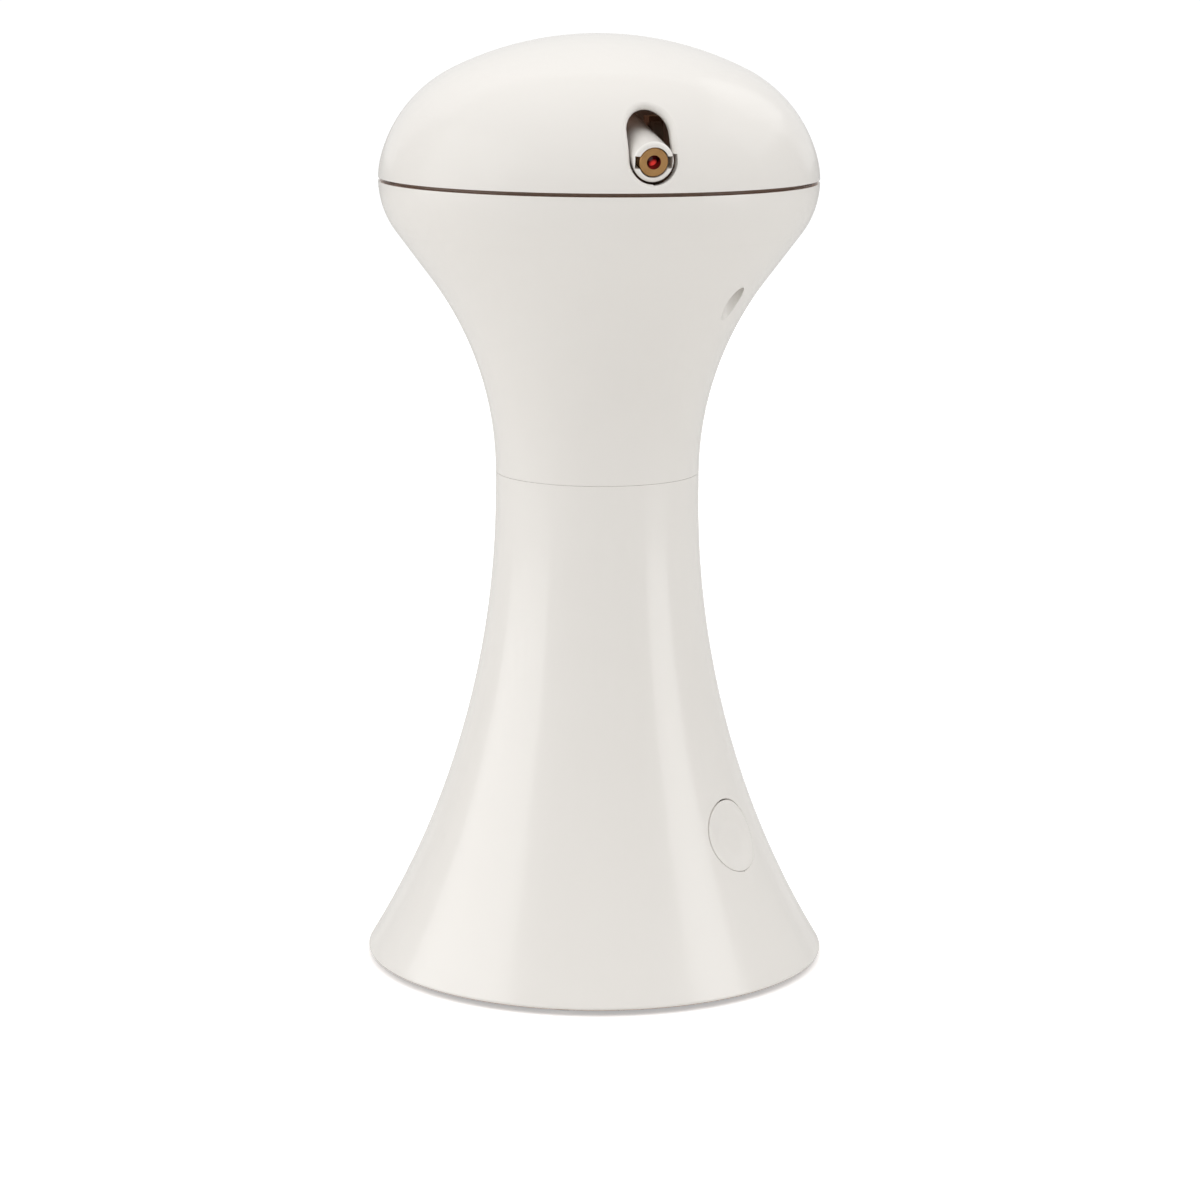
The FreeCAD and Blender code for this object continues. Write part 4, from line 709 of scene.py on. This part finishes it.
def add_screw(work, place, length, shank, head, height):
    """Add one screw to a bmesh; place moves it from its own frame, with its head up at the origin."""
    turns = [math.tau * side / SCREW_SIDES for side in range(SCREW_SIDES)]

    def vertex(across, along, level):
        return work.verts.new(place @ Vector((across, along, level)))

    loops = []
    for level, radius in screw_profile(length, shank, head, height):
        loops.append([vertex(radius(turn) * math.cos(turn), radius(turn) * math.sin(turn), level)
                      for turn in turns])
    for step in range(1, HEAD_RINGS):
        share = math.cos(step / HEAD_RINGS * math.pi / 2)
        crown = -height * CROWN_HEIGHT * (1 - math.sqrt(1 - share ** 2))
        places = [(head * share * math.cos(turn), head * share * math.sin(turn)) for turn in turns]
        loops.append([vertex(across, along, crown - recess(across, along, head, height))
                      for across, along in places])
    bridge(work, loops)
    work.faces.new(loops[0][::-1])
    work.faces.new(loops[-1])


def make_screws():
    """Threaded screws, each as long and as thick as the CAD one that it replaces."""
    for node, axis in SCREW_AXES.items():
        turn = Vector(axis).normalized().to_track_quat("Z", "Y").to_matrix()
        work = bmesh.new()
        for points in islands(nodes[node].data):
            own = [turn.transposed() @ point for point in points]
            top = max(point.z for point in own)
            tip = min(point.z for point in own)
            middle = sum((point for point in own), Vector()) / len(own)
            reach = {point.z: 0.0 for point in own}
            for point in own:
                reach[point.z] = max(reach[point.z], math.hypot(point.x - middle.x, point.y - middle.y))
            head = max(reach.values())
            shank = min(away for away in reach.values() if away > END_MIDDLE_SHARE * head)
            under = min(level for level, away in reach.items() if away > HEAD_SHARE * head)
            place = Matrix.Translation(turn @ Vector((middle.x, middle.y, top))) @ turn.to_4x4()
            add_screw(work, place, top - tip, shank, head, top - under)
        add_piece(finished(work, node + "_threaded"), node)


# Shells: in place of the CAD ones, with the small roundings of real mouldings

def normal_finder(mesh):
    """Function that gives a mesh's own corner normal at a place, the one nearest to a direction."""
    tree = kdtree.KDTree(len(mesh.vertices))
    corner_normals = [[] for _ in mesh.vertices]
    for index, vertex in enumerate(mesh.vertices):
        tree.insert(vertex.co, index)
    tree.balance()
    for loop, normal in zip(mesh.loops, mesh.corner_normals):
        corner_normals[loop.vertex_index].append(normal.vector.copy())

    def own_normal(place, facing):
        nearest, _, _ = tree.find(place)
        at_place = [index for _, index, _ in tree.find_range(nearest, WELD * 4)]
        return max((normal for index in at_place for normal in corner_normals[index]), key=facing.dot)
    return own_normal


def eased_copy(node, roundings, seam_shift):
    """Piece in place of a CAD node with some of its sharp edges rounded.

    roundings are (test, width), and a test picks the points of the edges. The waist face's outer edge moves
    up by seam_shift, which opens the seam to a fine slit. Outside the roundings the CAD's own normals stay.
    """
    own_normal = normal_finder(nodes[node].data)
    work = welded(nodes[node].data)
    work.faces.layers.int.new("rounding")
    for test, width in roundings:
        marked = [edge for edge in work.edges
                  if edge.calc_face_angle(0) > SHARP_ANGLE and all(test(vertex.co) for vertex in edge.verts)]
        made = bmesh.ops.bevel(work, geom=marked, offset=width, offset_type="OFFSET", segments=EASE_STEPS,
                               profile=0.5, affect="EDGES", clamp_overlap=False)
        layer = work.faces.layers.int["rounding"]
        for face in made["faces"]:
            face[layer] = 1
    for vertex in work.verts:
        if on_waist(vertex.co):
            vertex.co.z += seam_shift
    work.normal_update()

    def corner_normal(face, vertex):
        if not face[layer]:
            return own_normal(vertex.co, face.normal)
        plain = [other.normal for other in vertex.link_faces
                 if not other[layer] and other.normal.dot(face.normal) > SAME_SIDE]
        if plain:
            return own_normal(vertex.co, max(plain, key=face.normal.dot))
        return vertex.normal.copy()

    normals = [corner_normal(face, vertex) for face in work.faces for vertex in face.verts]
    work.faces.layers.int.remove(layer)
    mesh = finished(work, node + "_eased")
    mesh.normals_split_custom_set(normals)
    add_piece(mesh, node)


def on_waist(place):
    """Whether a point is on the outer edge of the face where the shells meet."""
    outer = math.hypot(place.x, place.y) > WAIST_RADIUS * WAIST_EDGE_SHARE
    return outer and abs(place.z - waist_level) < WELD


def on_button_mouth(place):
    """Whether a point is on the outer edge of the hole for the button."""
    across, rise, out = cap_place(place)
    on_hole = abs(math.hypot(across, rise) - BUTTON_RADIUS - BUTTON_GAP) < MOUTH_TOLERANCE
    return on_hole and out > -FACE_DEPTH


def make_shells():
    """Base and upper shell with eased edges at the waist seam and at the button's mouth."""
    eased_copy("base_shell", [(on_waist, WAIST_EASE), (on_button_mouth, MOUTH_EASE)], -WAIST_SLIT)
    eased_copy("upper_shell", [(on_waist, WAIST_EASE)], WAIST_SLIT)


# Power button

def cap_place(point):
    """Place of a point in the button's own axes: across, up the slope, and out from the cap's middle."""
    apart = point - cap_middle
    return apart.x, apart.dot(button_up), -apart.dot(button_inward)


def cap_point(across, rise, out):
    """Point at a place in the button's own axes."""
    return cap_middle + Vector((across, 0, 0)) + button_up * rise - button_inward * out


def cap_angle(vertex):
    """Angle of a point round the cap's middle."""
    across, rise, _ = cap_place(vertex.co)
    return math.atan2(rise, across)


def flare_out(across, rise):
    """How far the base's outer face stands out from the cap's middle at a place of the button."""
    out = 0.0
    for _ in range(FLARE_PASSES):
        point = cap_point(across, rise, out)
        face_radius = flare_axis - math.sqrt(flare_radius ** 2 - (flare_top - point.z) ** 2)
        out -= (math.hypot(point.x, point.y) - face_radius) * FLARE_STEP
    return out


def cap_drop(away):
    """How far the dished and rounded cap lies under the base's outer face."""
    over_edge = max(0.0, away - BUTTON_RADIUS + CAP_EDGE)
    rounding = CAP_EDGE - math.sqrt(max(0.0, CAP_EDGE ** 2 - over_edge ** 2))
    share = clamped((DISH_RADIUS - away) / DISH_SLOPE)
    return CAP_DISH * share * share * (3 - 2 * share) + rounding


def is_cap_face(face):
    """Whether a face of the CAD button belongs to its outer end."""
    looks_out = face.normal.dot(button_inward) < -LOOKS_OUT
    return looks_out and all(cap_place(vertex.co)[2] > -FACE_DEPTH for vertex in face.verts)


def make_button():
    """Power button with a dished cap whose edge is rounded, sitting a little low and to one side."""
    work = welded(nodes["power_button"].data)
    bmesh.ops.delete(work, geom=[face for face in work.faces if is_cap_face(face)], context="FACES")
    edges = [edge for edge in work.edges if edge.is_boundary]
    rim = sorted({vertex for edge in edges for vertex in edge.verts}, key=cap_angle)
    places = [cap_place(vertex.co) for vertex in rim]
    loops = [rim]
    for away in CAP_RINGS:
        loop = []
        for rim_across, rim_rise, _ in places:
            share = away / math.hypot(rim_across, rim_rise)
            across, rise = rim_across * share, rim_rise * share
            loop.append(work.verts.new(cap_point(across, rise, flare_out(across, rise) - cap_drop(away))))
        loops.append(loop)
    for vertex in rim:
        vertex.co += button_inward * CAP_EDGE
    bridge(work, loops)
    work.faces.new(loops[-1])
    bmesh.ops.recalc_face_normals(work, faces=work.faces)
    for vertex in work.verts:
        if cap_place(vertex.co)[2] > -SKIRT_DEPTH:
            vertex.co += Vector((CAP_SHIFT, 0, 0)) - button_up * CAP_SAG
    mesh = finished(work, "power_button_dished")
    mesh.set_sharp_from_angle(angle=CAP_SHARP_ANGLE)
    add_piece(mesh, "power_button")


slot_materials = make_slot_materials()
own_materials = make_own_materials()
make_camera()
make_world()
make_studio()
make_dome_glow()
make_floor()
for node in node_slots:
    dress(nodes[node].data, node)
make_screws()
make_shells()
make_button()
bpy.context.scene.view_settings.view_transform = "Standard"
